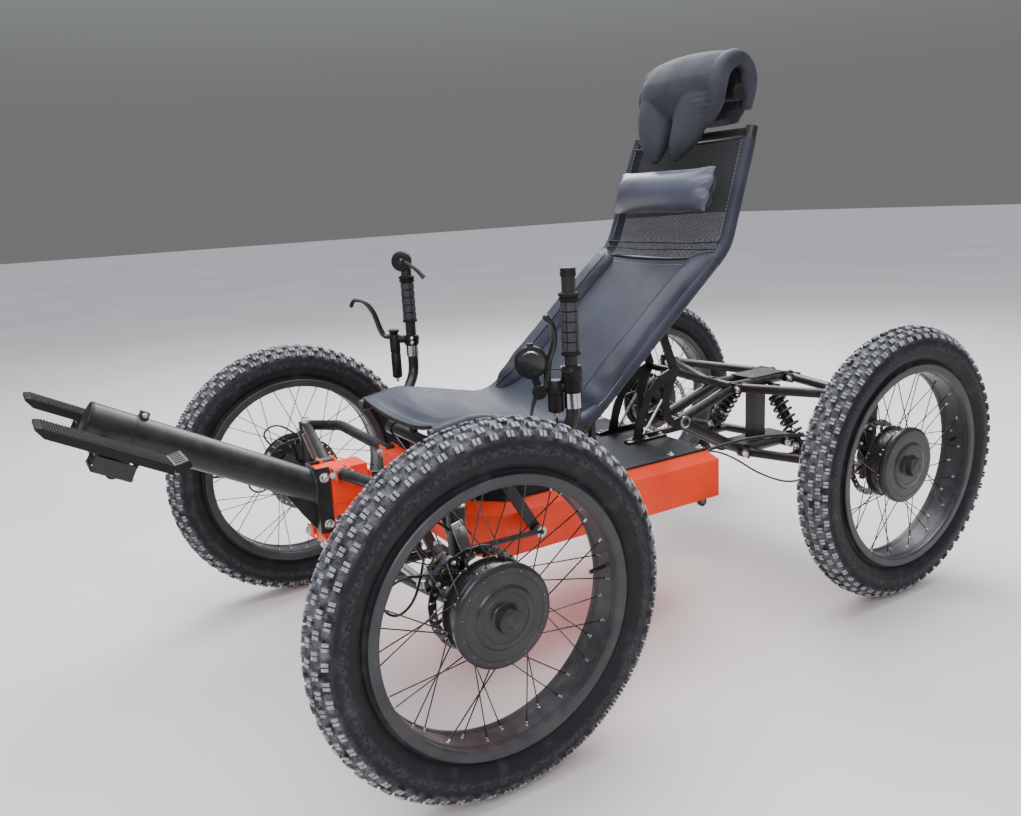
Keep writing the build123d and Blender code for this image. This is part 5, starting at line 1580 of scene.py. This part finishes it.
@dataclass(frozen=True)
class Lead:
    """Cable or hose as one smooth curve through given control points."""

    name: str
    body: str
    points: tuple[tuple[float, float, float], ...]
    diameter: float = 0.006
    stiffness: str = "medium"
    look: Look = Look.CABLE

    def build(self) -> None:
        curve = bpy.data.curves.new(self.name, "CURVE")
        curve.dimensions = "3D"
        curve.resolution_u = 10
        curve.bevel_depth = self.diameter / 2
        curve.bevel_resolution = 4
        curve.use_fill_caps = True
        line = curve.splines.new("NURBS")
        line.points.add(len(self.points) - 1)
        for knot, place in zip(line.points, self.points):
            knot.co = (*place, 1)
        line.order_u = 3
        line.use_endpoint_u = True
        curve.materials.append(self.look.material)
        made = placed(self.name, curve)
        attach(made, self.body)


class Cables:
    """Motor leads, brake hoses and the thin lever cable."""

    # Routes on the left, in millimetres: name and body without their side, diameter, control points
    ROUTES = (
        ("motor_lead", "root", 8,
         ((374, 759.6, 364), (350, 750, 368), (320, 720, 382), (280, 660, 400),
          (240, 590, 408), (195, 510, 402), (160, 445, 386), (145, 400, 372),
          (142, 371.5, 364))),
        ("rear_hose", "root", 5,
         ((400, 685, 440), (403, 656, 434), (395, 595, 370), (360, 525, 314),
          (285, 478, 330), (220, 435, 378), (175, 400, 390), (160, 371.5, 386))),
        ("front_hose", "knuckle", 5,
         ((474, -550, 446), (470, -564, 464), (458, -574, 486), (446, -560, 506),
          (440, -534, 508), (436, -508, 490), (433, -488, 470))),
        ("front_loop", "knuckle", 5,
         ((455, -515, 392), (447, -545, 402), (440, -590, 408), (438, -628, 392),
          (438, -634, 356), (438, -606, 334), (438, -574, 352), (438, -556, 392),
          (436, -545, 430))),
    )
    # The cable over the left stick's bracket, and the hose down its post, from the collar's lower edge
    ARCH = ((366, -214, 716), (384, -222, 724), (398, -205, 722), (403, -180, 708), (404, -163, 684),
            (402, -158, 650), (397, -160, 620), (390.5, -163, 600))
    POST = ((-18, -29, -51), (-18, -27, -66), (-22, -24, -90), (-32, -34, -120), (-50, -58, -150),
            (-68, -80, -166), (-84, -92, -176))

    def build(self) -> None:
        """Make each lead on both sides."""
        for side, sign in SIDES.items():
            for name, body, diameter, points in self.ROUTES:
                rides_on = body if body == "root" else f"{body}_{side}"
                route = tuple((sign * x / 1000, y / 1000, z / 1000) for x, y, z in points)
                Lead(f"{name}_{side}", rides_on, route, diameter / 1000).build()
        post = [tuple(COLLAR + Vector(place) / 1000) for place in self.POST]
        Lead("brake_hose_left", "stick_left", tuple(post), 0.005).build()
        arch = tuple((x / 1000, y / 1000, z / 1000) for x, y, z in self.ARCH)
        Lead("lever_cable", "stick_left", arch, 0.0026).build()


# Soft goods


def on_back(x: float, along: float, out: float = 0.0) -> Vector:
    """Point at a distance to the left, up the seat back from the hip and out of it towards the rider."""
    y = HIP[0] + along * cos(BACK_SLOPE) - out * sin(BACK_SLOPE)
    return Vector((x, y, HIP[1] + along * sin(BACK_SLOPE) + out * cos(BACK_SLOPE)))


def side_line(corners: Sequence[tuple[float, float]], bend: float,
              step: float) -> list[tuple[Vector, Vector]]:
    """Sample a line of straight runs joined by arcs, in the side view.

    Args:
        corners: its corners as (y, z).
        bend: the radius of its arcs.
        step: the spacing of the samples.

    Returns:
        Pairs of a point and the normal to its left, both in the plane X 0.
    """
    points = [Vector((y, z)) for y, z in corners]
    line = [points[0]]
    for before, corner, after in zip(points, points[1:], points[2:]):
        come, leave = (corner - before).normalized(), (after - corner).normalized()
        turn = come.angle_signed(leave)
        reach = bend * tan(abs(turn) / 2)
        start, end = corner - come * reach, corner + leave * reach
        steps = max(2, int(abs(turn) * bend / step))
        for index in range(steps + 1):
            share = index / steps
            line.append(start.lerp(corner, share).lerp(corner.lerp(end, share), share))
    line.append(points[-1])
    dense = [line[0]]
    for low, high in zip(line, line[1:]):
        count = max(1, round((high - low).length / step))
        dense += [low.lerp(high, (index + 1) / count) for index in range(count)]
    dense = [point for index, point in enumerate(dense)
             if not index or (point - dense[index - 1]).length > step / 5]
    found = []
    for index, point in enumerate(dense):
        run = (dense[min(index + 1, len(dense) - 1)] - dense[max(index - 1, 0)]).normalized()
        found.append((Vector((0, *point)), Vector((0, -run.y, run.x))))
    return found


class Skin:
    """Nearest-point look-ups on a finished soft piece, for its seams."""

    def __init__(self, data: bpy.types.Mesh) -> None:
        """Read the mesh of the soft piece once."""
        points = [vertex.co.copy() for vertex in data.vertices]
        self.tree = BVHTree.FromPolygons(points, [tuple(face.vertices) for face in data.polygons])

    def drop(self, point: Vector, lift: float = 0.0) -> tuple[Vector, Vector]:
        """Nearest point of the skin, lifted off it, and the skin's normal there."""
        spot, normal, _, _ = self.tree.find_nearest(point)
        return spot + normal * lift, normal


@dataclass
class SoftPiece:
    """A stuffed piece: swollen by a cloth simulation, then creased."""

    voxel: float = 0.006
    pressure: float = 4.0
    cap: float = 0.01
    frames: int = 20

    def swell(self, form: Form, name: str) -> bpy.types.Object:
        """Turn a closed form into a stuffed mesh.

        Args:
            form: the unstuffed shape.
            name: the object's name.

        Returns:
            The object, not yet on its body.
        """
        scene = bpy.context.scene
        made = placed(name, form.mesh(name, 180))
        remesh = made.modifiers.new("remesh", "REMESH")
        remesh.mode = "VOXEL"
        remesh.voxel_size = self.voxel
        remesh.use_smooth_shade = True
        smooth = made.modifiers.new("smooth", "SMOOTH")
        smooth.factor = 0.5
        smooth.iterations = 3
        self.bake(made)
        rest = [vertex.co.copy() for vertex in made.data.vertices]
        cloth = made.modifiers.new("cloth", "CLOTH")
        cloth.settings.use_pressure = True
        cloth.settings.uniform_pressure_force = self.pressure
        cloth.settings.quality = 5
        cloth.settings.mass = 0.3
        cloth.settings.effector_weights.gravity = 0
        cloth.point_cache.frame_start, cloth.point_cache.frame_end = 1, self.frames
        for number in range(1, self.frames + 1):
            scene.frame_set(number)
        self.bake(made)
        scene.frame_set(1)
        drift = sum((vertex.co - old for vertex, old in zip(made.data.vertices, rest)),
                    Vector()) / len(rest)
        for vertex, old in zip(made.data.vertices, rest):
            move = vertex.co - old - drift
            vertex.co = old + move * min(1.0, self.cap / max(move.length, 1e-9))
        return made

    @staticmethod
    def bake(made: bpy.types.Object) -> None:
        """Turn an object's modifiers into its mesh.

        Args:
            made: the object.
        """
        seen = made.evaluated_get(bpy.context.evaluated_depsgraph_get())
        fresh = bpy.data.meshes.new_from_object(seen)
        made.modifiers.clear()
        made.data = fresh

    @staticmethod
    def crease(made: bpy.types.Object, depth: Callable[[Vector], float]) -> None:
        """Push the skin along its normals.

        Args:
            made: the piece.
            depth: how far out the skin goes at a point.
        """
        normals = [vertex.normal.copy() for vertex in made.data.vertices]
        for vertex, normal in zip(made.data.vertices, normals):
            vertex.co += normal * depth(vertex.co)
        made.data.update()

    @staticmethod
    def settle(made: bpy.types.Object, look: Look, nodes: Sequence[str], fill: float,
               body: str = "root") -> Skin:
        """Refine and finish a stuffed piece, put it on its body and hide the nodes that it stands for.

        Args:
            made: the piece.
            look: its finish.
            nodes: the nodes that it stands for.
            fill: how full it is, from 0 to 1; not used.
            body: the body that it rides on.

        Returns:
            Look-ups on its skin.
        """
        made.modifiers.new("fine", "SUBSURF").render_levels = 1
        made.modifiers["fine"].levels = 1
        SoftPiece.bake(made)
        made.data.materials.clear()
        made.data.materials.append(look.material)
        made.data.shade_smooth()
        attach(made, body)
        if nodes:
            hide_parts(*nodes)
        return Skin(made.data)


def stitches(form: Form, path: Sequence[Vector], skin_of: Skin, skin: int, pitch: float = 0.0052,
             length: float = 0.0034, radius: float = 0.00045) -> None:
    """Add a row of stitches along a path on a skin.

    Args:
        form: the form that takes them.
        path: the row's line, with close points.
        skin_of: the skin that they lie on.
        skin: the number of the thread's finish.
        pitch: the spacing of the stitches.
        length: the length of one stitch.
        radius: the thread's radius.
    """
    covered, due = 0.0, 0.0
    for low, high in zip(path, path[1:]):
        run = (high - low).length
        while due < covered + run:
            start = low.lerp(high, (due - covered) / run)
            along = (high - low).normalized()
            ends = [skin_of.drop(start + along * (share * length), lift)[0]
                    for share, lift in ((0, -0.0002), (0.25, 0.0005), (0.75, 0.0005), (1, -0.0002))]
            form.tube(ends, radius, 5, skin)
            due += pitch
        covered += run


@dataclass
class Bolsters(SoftPiece):
    """Padded wings of the seat back over the side tubes, with piping and stitching."""

    inner: float = 0.128
    outer: float = 0.24
    low: float = 0.012
    high: float = 0.56
    crown: float = 0.026
    cap: float = 0.007

    def edge(self, along: float) -> tuple[float, float]:
        """Inner and outer edge of the pad at a distance up the back.

        Args:
            along: distance up the back.

        Returns:
            The inner and the outer edge.
        """
        share = (along - self.low) / (self.high - self.low)
        foot = max(0.0, 1 - share / 0.13)
        head = max(0.0, (share - 0.9) / 0.1)
        inner = self.inner + 0.012 * share + 0.062 * foot ** 1.6 + 0.085 * head ** 1.7
        outer = self.outer - 0.03 * foot ** 1.5 - 0.004 * head
        return inner, outer

    def section(self, along: float, shrink: float = 0.004) -> list[Vector]:
        """Ring of the pad at a distance up the back.

        Args:
            along: distance up the back.
            shrink: how far the ring stays inside the edges.

        Returns:
            The ring.
        """
        inner, outer = self.edge(along)
        share = (along - self.low) / (self.high - self.low)
        full = min(1.0, share / 0.1, (1 - share) / 0.08) ** 0.5 if 0 < share < 1 else 0.05
        middle, half = (inner + outer) / 2, (outer - inner) / 2 - shrink
        ring = []
        for across, side in circle(1, 28):
            bulge = (1 - abs(across) ** 2.6) ** (1 / 2.2)
            out = self.crown * bulge if side > 0 else -0.016 * bulge
            roll = 0.005 * max(0.0, across) - 0.002
            ring.append(on_back(middle + half * across, along, out * max(full, 0.12) - roll))
        return ring

    def pad(self, sign: int) -> Form:
        """The closed pad on one side.

        Args:
            sign: 1 for the left side, -1 for the right.

        Returns:
            The pad.
        """
        form = Form(Look.HIDE)
        rings = []
        for along in spread(self.low, self.high, 64):
            rings.append([Vector((sign * point.x, point.y, point.z)) for point in self.section(along)])
        if sign < 0:
            rings = [ring[::-1] for ring in rings]
        form.loft(rings)
        return form

    def folds(self, point: Vector) -> float:
        """Depth of the folds near the lower end and of slow dents along the pad.

        Args:
            point: a point of the skin.

        Returns:
            The depth.
        """
        run = Vector((point.y - HIP[0], point.z - HIP[1]))
        along = run.x * cos(BACK_SLOPE) + run.y * sin(BACK_SLOPE)
        near = max(0.0, 1 - along / 0.24) ** 1.3
        across = abs(point.x) - 0.18
        wave = sin((along * 92 + across * 46 + 2.2 * noise.noise(Vector((point.x * 14, along * 9, 0)))))
        slow = noise.noise(Vector((point.x * 16, along * 11, 3.1)))
        return near * 0.0026 * wave + 0.0016 * slow

    def trim(self, sign: int, skin_of: Skin) -> Form:
        """Piping along both edges and stitches beside the outer one.

        Args:
            sign: 1 for the left side, -1 for the right.
            skin_of: look-ups on the pad's skin.

        Returns:
            The trim.
        """
        form = Form(Look.PIPING, Look.THREAD)
        inner, outer, sewn = [], [], []
        for along in spread(self.low + 0.006, self.high - 0.006, 150):
            low, high = self.edge(along)
            inner.append(skin_of.drop(on_back(sign * (low + 0.028), along, 0.034), 0.0004)[0])
            outer.append(skin_of.drop(on_back(sign * (high - 0.002), along, 0.002), 0.0006)[0])
            sewn.append(skin_of.drop(on_back(sign * (high - 0.01), along, 0.012), 0)[0])
        form.tube(inner, 0.0018, 8)
        form.tube(outer, 0.002, 8)
        stitches(form, sewn, skin_of, 1)
        return form

    def build(self) -> None:
        """Make both wings and their trim."""
        for side, sign in SIDES.items():
            made = self.swell(self.pad(sign), f"bolster_{side}")
            self.crease(made, self.folds)
            nodes = ("seat_bolsters",) if side == "left" else ()
            skin_of = self.settle(made, Look.HIDE, nodes, 0.8)
            self.trim(sign, skin_of).piece(f"bolster_trim_{side}", "root")


@dataclass
class Sling:
    """Leather sling of the pan and the back, sleeved over the side tubes."""

    tube: float = 0.0165
    thickness: float = 0.007
    halves: tuple[float, float, float, float] = (0.19, 0.196, 0.212, 0.22)

    def half(self, point: Vector) -> float:
        """Half width between the tubes beside a point of the side line.

        Args:
            point: a point of the side line.

        Returns:
            The half width.
        """
        front, knee, hip, kink = self.halves
        y = point.y
        if y < KNEE[0]:
            return front + (knee - front) * (y - LIP[0]) / (KNEE[0] - LIP[0])
        if y < HIP[0]:
            return knee + (hip - knee) * (y - KNEE[0]) / (HIP[0] - KNEE[0])
        return hip + (kink - hip) * (y - HIP[0]) / (KINK[0] - HIP[0])

    def sag(self, share: float) -> float:
        """Depth of the hollow at a share of the sling's length."""
        return 0.01 + 0.022 * max(0.0, 1 - abs(share - 0.24) / 0.24) + 0.006 * (share < 0.05)

    def ring(self, point: Vector, normal: Vector, share: float) -> list[Vector]:
        """Closed section of the sling at one place of the side line.

        Args:
            point: a point of the side line.
            normal: its normal.
            share: its share of the sling's length.

        Returns:
            The section.
        """
        half, sag, tube = self.half(point), self.sag(share), self.tube
        top, under = [], []
        for across in spread(-1, 1, 24):
            x = across * (half - 0.01)
            hollow = tube - 0.002 - sag * (1 - abs(across) ** 2.4) - 0.004 * (1 - across * across)
            top.append((x, hollow))
            under.append((x * 0.985, hollow - self.thickness * (1 - 0.4 * across ** 8)))
        wrap = [(half + tube * cos(angle), tube * sin(angle))
                for angle in spread(radians(78), radians(-180), 10)]
        outline = top + wrap + under[::-1] + [(-x, out) for x, out in reversed(wrap)]
        return [point + Vector((x, 0, 0)) + normal * out for x, out in outline]

    def build(self) -> None:
        """Make the sling and its hems."""
        line = side_line((LIP, KNEE, HIP, KINK), 0.12, 0.01)
        count = len(line)
        front, top = LIP[0] + 0.01, KINK[1] - 0.028
        keep = [(point, normal) for point, normal in line if point.y > front and point.z < top]
        form = Form(Look.HIDE)
        rings = [self.ring(point, normal, index / (count - 1)) for index, (point, normal) in enumerate(keep)]
        form.loft(rings)
        made = form.piece("seat_sling", "root", "seat_pan", "seat_back", crease=70)
        self.hems(keep, count)

    def hems(self, keep: Sequence[tuple[Vector, Vector]], count: int) -> None:
        """Sew a rolled hem at the front lip and a flat band at the upper end.

        Args:
            keep: the sling's points and normals.
            count: how many points the whole side line has.
        """
        form = Form(Look.PIPING, Look.THREAD)
        for index, inward in ((0, 1), (len(keep) - 1, -1)):
            point, normal = keep[index]
            ring = self.ring(point, normal, index / (count - 1))
            form.tube([spot + normal * 0.0005 for spot in ring[:25]], 0.0032, 8)
            after, other = keep[index + inward * 2]
            row = self.ring(after, other, index / (count - 1))[1:24]
            for low, high in zip(row, row[1:]):
                for share in (0.1, 0.6):
                    start = low.lerp(high, share) + other * 0.0006
                    form.tube([start, start + (high - low).normalized() * 0.0036], 0.00045, 5, 1)
        form.piece("sling_hems", "root")


@dataclass
class HeadPanel:
    """Sheer mesh of the head section between its sleeves, with the cross band at the bend."""

    low_half: float = 0.22
    top_half: float = 0.21
    tube: float = 0.016
    overlap: float = 0.05

    def line(self) -> list[tuple[Vector, Vector]]:
        """Side line of the panel from below the bend to the top hem.

        Returns:
            Pairs of a point and its normal.
        """
        below = (KINK[0] - self.overlap * cos(BACK_SLOPE), KINK[1] - self.overlap * sin(BACK_SLOPE))
        end = (TOP[0] - 0.03 * cos(HEAD_SLOPE), TOP[1] - 0.03 * sin(HEAD_SLOPE))
        return side_line((below, KINK, end), 0.12, 0.009)

    def half(self, share: float) -> float:
        """Half width of the panel at a share of its length."""
        return self.low_half + (self.top_half - self.low_half) * share

    def hollow(self, share: float, across: float) -> float:
        """How far the cloth hangs behind the tubes' front, with its creases.

        Args:
            share: share of the panel's length.
            across: place across it, from -1 to 1.

        Returns:
            The depth.
        """
        band = 0.004 * max(0.0, 1 - abs(share - 0.15) / 0.03)
        pull = 0.0018 * sin(34 * share + 5 * across) * (1 - across * across)
        return 0.013 * (1 - abs(across) ** 2.2) * (0.4 + 0.6 * min(1.0, share / 0.3)) - band + pull

    def cloth(self) -> Form:
        """The single sheet between the tubes.

        Returns:
            The sheet.
        """
        form = Form(Look.NET)
        line = self.line()
        columns = 40
        points, faces = [], []
        for index, (point, normal) in enumerate(line):
            share = index / (len(line) - 1)
            half = self.half(share)
            for across in spread(-1, 1, columns):
                x = across * (half - 0.004)
                points.append(point + Vector((x, 0, 0))
                              + normal * (self.tube - 0.002 - self.hollow(share, across)))
        for row in range(len(line) - 1):
            for step in range(columns):
                low = row * (columns + 1) + step
                faces.append((low, low + 1, low + columns + 2, low + columns + 1))
        form.add(points, faces)
        return form

    def sleeves(self) -> Form:
        """Dense sleeves on the tubes, the top hem and the cross band.

        Returns:
            The sleeves.
        """
        form = Form(Look.HIDE, Look.THREAD)
        line = self.line()
        total = len(line) - 1
        for sign in (1, -1):
            path = [point + Vector((sign * self.half(index / total), 0, 0))
                    for index, (point, _) in enumerate(line)]
            form.tube(path, 0.0168, 20)
            inner = [spot + Vector((-sign * 0.01, 0, 0)) + line[index][1] * 0.0138
                     for index, spot in enumerate(path)]
            for low, high in zip(inner, inner[1:]):
                form.tube([low, low.lerp(high, 0.5)], 0.0004, 5, 1)
        # Rolled edges: place along the panel and radius
        for index, radius in ((total, 0.003), (round(total * 0.15), 0.0018), (3, 0.0016)):
            point, normal = line[index]
            share = index / total
            row = []
            for across in spread(-1, 1, 32):
                row.append(point + Vector((across * (self.half(share) - 0.004), 0, 0))
                           + normal * (self.tube - 0.0015 - self.hollow(share, across)))
            form.tube(row, radius, 8)
        return form

    def build(self) -> None:
        """Make the mesh and its sleeves."""
        form = self.cloth()
        made = form.piece("head_mesh", "root", "head_panel", crease=180)
        self.sleeves().piece("head_sleeves", "root", crease=60)


@dataclass
class HeadPillow(SoftPiece):
    """Butterfly pillow hung over the headrest bar: two lobes in front, a hood behind."""

    voxel: float = 0.005
    cap: float = 0.008

    # Sections of the limbs in millimetres from the bar: X, Y, Z of the middle, half width, half thickness
    HOOD = ((0, -104, -62, 70, 16), (0, -100, -20, 108, 28), (0, -90, 30, 124, 30), (0, -58, 76, 132, 25),
            (0, -4, 88, 128, 18), (0, 34, 72, 122, 16), (0, 50, 30, 118, 14), (0, 50, -40, 110, 12),
            (0, 40, -78, 80, 8))
    LOBE = ((60, -80, 30, 50, 22), (63, -91, -12, 60, 31), (66, -99, -50, 63.5, 35), (62, -112, -94, 54, 32),
            (50, -126, -134, 34, 23), (40, -133, -164, 10, 8))
    ARCH = ((112, -88, -78, 14, 16), (128, -78, -30, 21, 23), (133, -70, 20, 23, 25), (131, -52, 62, 23, 25),
            (128, -8, 82, 22, 22), (124, 34, 64, 19, 18), (120, 50, 14, 17, 16), (114, 48, -44, 12, 12))

    def limb(self, form: Form, sections: Sequence[Sequence[float]], sign: int = 1) -> None:
        """Add a soft limb of oval sections.

        Args:
            form: the form that takes it.
            sections: the rows of its table, for the left side.
            sign: 1 for the left side, -1 for the right.
        """
        rows = [[number / 1000 for number in section] for section in sections]
        line = flow([(sign * x, HEAD_BAR[0] + y, HEAD_BAR[1] + z) for x, y, z, _, _ in rows], 4)
        sizes = flow([(wide, thick, 0) for _, _, _, wide, thick in rows], 4)
        rings = []
        for index, middle in enumerate(line):
            run = (line[min(index + 1, len(line) - 1)] - line[max(index - 1, 0)]).normalized()
            across = Vector((1, 0, 0)) - run * run.x
            across.normalize()
            out = run.cross(across)
            wide, thick, _ = sizes[index]
            rings.append([middle + across * (wide * x) + out * (thick * y) for x, y in circle(1, 24)])
        form.loft(rings)

    def shape(self) -> Form:
        """The whole pillow before it is stuffed.

        Returns:
            The shape.
        """
        form = Form(Look.KNIT)
        self.limb(form, self.HOOD)
        for sign in (1, -1):
            self.limb(form, self.LOBE, sign)
            self.limb(form, self.ARCH, sign)
        return form

    def folds(self, point: Vector) -> float:
        """Depth of the gathers beside the loops and of slow dents.

        Args:
            point: a point of the skin.

        Returns:
            The depth.
        """
        y, z = HEAD_BAR
        side = max(0.0, 1 - abs(abs(point.x) - 0.12) / 0.034)
        height = max(0.0, 1 - abs(point.z - z + 0.025) / 0.075)
        front = 1.0 if point.y < y - 0.03 else 0.0
        ripple = sin(point.z * 520 + 3 * noise.noise(point * 30))
        slow = noise.noise(point * 15)
        return side * height * front * 0.0016 * ripple + 0.0022 * slow

    def build(self) -> None:
        """Make the pillow and the foam ends of the bar."""
        made = self.swell(self.shape(), "head_pillow")
        self.crease(made, self.folds)
        self.settle(made, Look.KNIT, ("headrest",), 0.7)
        form = Form(Look.GRIP)
        y, z = HEAD_BAR
        for sign in (1, -1):
            place = aim((sign * 0.086, y, z), (sign, 0, 0))
            form.lathe([(0, 20.5), (36, 21.2), (42, 20), (45.5, 16), (46.8, 9), (47, 1)], place, 40)
        form.piece("bar_foam", "root")


@dataclass
class RollPillow(SoftPiece):
    """Satin roll pillow with a flat seam at each end."""

    middle: tuple[float, float, float] = (0.0, 0.4093, 1.0479)
    length: float = 0.356
    radius: float = 0.05

    def shape(self) -> Form:
        """The roll before it is stuffed: round in the middle, flat at its ends.

        Returns:
            The shape.
        """
        form = Form(Look.SATIN)
        slope = Vector((0, cos(HEAD_SLOPE), sin(HEAD_SLOPE)))
        out = Vector((0, -sin(HEAD_SLOPE), cos(HEAD_SLOPE)))
        rings = []
        for share in spread(-1, 1, 40):
            x = share * self.length / 2
            end = abs(share) ** 5
            tall = self.radius * (1.06 + 0.14 * end)
            deep = self.radius * (0.93 * (1 - end) + 0.1)
            middle = Vector(self.middle) + Vector((x, 0, 0))
            rings.append([middle + (slope * (tall * a) + out * (deep * b)) for a, b in circle(1, 32)])
        form.loft(rings)
        return form

    def folds(self, point: Vector) -> float:
        """Depth of the puckers beside the end seams.

        Args:
            point: a point of the skin.

        Returns:
            The depth.
        """
        offset = point - Vector(self.middle)
        near = max(0.0, 1 - (self.length / 2 - abs(offset.x)) / 0.055) ** 1.4
        up = offset.y * cos(HEAD_SLOPE) + offset.z * sin(HEAD_SLOPE)
        ripple = sin(up * 150 + 1.4 * sin(offset.x * 60))
        slow = noise.noise(offset * 13)
        return near * 0.0034 * ripple + 0.0018 * slow

    def build(self) -> None:
        """Make the roll and its end seams."""
        made = self.swell(self.shape(), "roll_pillow_made")
        self.crease(made, self.folds)
        skin_of = self.settle(made, Look.SATIN, ("roll_pillow",), 0.85)
        form = Form(Look.PIPING, Look.THREAD)
        slope = Vector((0, cos(HEAD_SLOPE), sin(HEAD_SLOPE)))
        for sign in (1, -1):
            row = []
            for up in spread(-self.radius, self.radius, 40):
                end = Vector(self.middle) + Vector((sign * self.length / 2, 0, 0)) + slope * up
                row.append(skin_of.drop(end, 0.0004)[0])
            form.tube(row, 0.0016, 8)
            form.tube([point - Vector((sign * 0.0025, 0, 0)) for point in row], 0.0011, 6)
        form.piece("roll_seams", "root")


# Setting


@dataclass
class Setting:
    """Floor, soft lights and the camera of the photograph."""

    eye: tuple[float, float, float] = (1.769, -1.141, 1.045)
    yaw: float = 59.2
    pitch: float = 13.4
    roll: float = -3.2
    focal: float = 865.0
    width: float = 1021.0
    daylight: float = 0.85

    def floor(self) -> None:
        """Lay a flat pale floor under the vehicle."""
        graph = Graph(bpy.data.materials.new("pale_floor"))
        patches = graph.grain(0.8, 3).ramp(0.3, 0.7)
        colour = graph.blend((0.72, 0.665, 0.64), (0.78, 0.725, 0.7), patches)
        graph.surface({"Base Color": colour, "Roughness": 0.85,
                       "Normal": graph.bump(graph.grain(60, 4), 0.1, 0.001)})
        data = bpy.data.meshes.new("floor")
        reach = 30.0
        corners = [(-reach, -reach, 0), (reach, -reach, 0), (reach, reach, 0), (-reach, reach, 0)]
        data.from_pydata(corners, [], [(0, 1, 2, 3)])
        data.materials.append(graph.owner)
        placed("floor", data)

    def light(self, name: str, place: Point, target: Point, size: float, power: float,
              colour: Colour = (1, 1, 1)) -> None:
        """Hang a soft lamp.

        Args:
            name: the lamp's name.
            place: where it hangs.
            target: what it points at.
            size: the side of its square face.
            power: its power in watts.
            colour: its colour.
        """
        lamp = bpy.data.lights.new(name, "AREA")
        lamp.shape = "SQUARE"
        lamp.size = size
        lamp.energy = power
        lamp.color = colour
        made = placed(name, lamp)
        made.location = place
        made.rotation_euler = (Vector(target) - Vector(place)).to_track_quat("-Z", "Y").to_euler()

    def sky(self) -> None:
        """Fill the surroundings with daylight from above, dim near the horizon."""
        world = bpy.data.worlds.new("daylight")
        graph = Graph(world)
        height = graph.axis("Z", graph.node("TexCoord", output="Generated"))
        colour = graph.blend((0.2, 0.205, 0.2), (0.86, 0.93, 1.06), height.ramp(0.08, 0.72))
        graph.finish(graph.node("Background", None, {"Color": colour, "Strength": self.daylight}), "World")
        bpy.context.scene.world = world

    def camera(self) -> None:
        """Stand the camera where the photograph was taken."""
        yaw, pitch, roll = radians(self.yaw), radians(self.pitch), radians(self.roll)
        forward = Vector((-sin(yaw) * cos(pitch), cos(yaw) * cos(pitch), -sin(pitch)))
        right = Vector((cos(yaw), sin(yaw), 0))
        up = right.cross(forward)
        across = right * cos(roll) + up * sin(roll)
        upright = up * cos(roll) - right * sin(roll)
        data = bpy.data.cameras.new("camera")
        data.sensor_width = 36
        data.lens = 36 * self.focal / self.width
        made = placed("camera", data)
        turn = Matrix((across, upright, -forward)).transposed().to_4x4()
        made.matrix_world = Matrix.Translation(self.eye) @ turn
        bpy.context.scene.camera = made

    def build(self) -> None:
        """Set the whole stage."""
        self.camera()
        self.floor()
        self.sky()
        self.light("overhead", (-0.6, 0.6, 4.2), (0, 0.1, 0.4), 4.5, 275)
        self.light("key", (3.2, -2.6, 2.8), (0, 0, 0.5), 2.2, 105, (1.0, 0.98, 0.95))
        self.light("back", (-2.8, 2.2, 3.3), (0, 0.2, 0.6), 2.5, 160, (0.93, 0.97, 1.0))


def main() -> None:
    """Build the sub-assemblies in order."""
    logging.basicConfig(level=logging.INFO, format="%(name)s: %(message)s")
    for assembly in (Setting(), Cables(), Fittings(), Wheels(), Springs(), Calipers(), KnuckleFittings(),
                     Sticks(), Platforms(), Sling(), HeadPanel(), Bolsters(), HeadPillow(), RollPillow()):
        assembly.build()
        LOG.info("%s built", type(assembly).__name__)


if __name__ == "__main__":
    main()
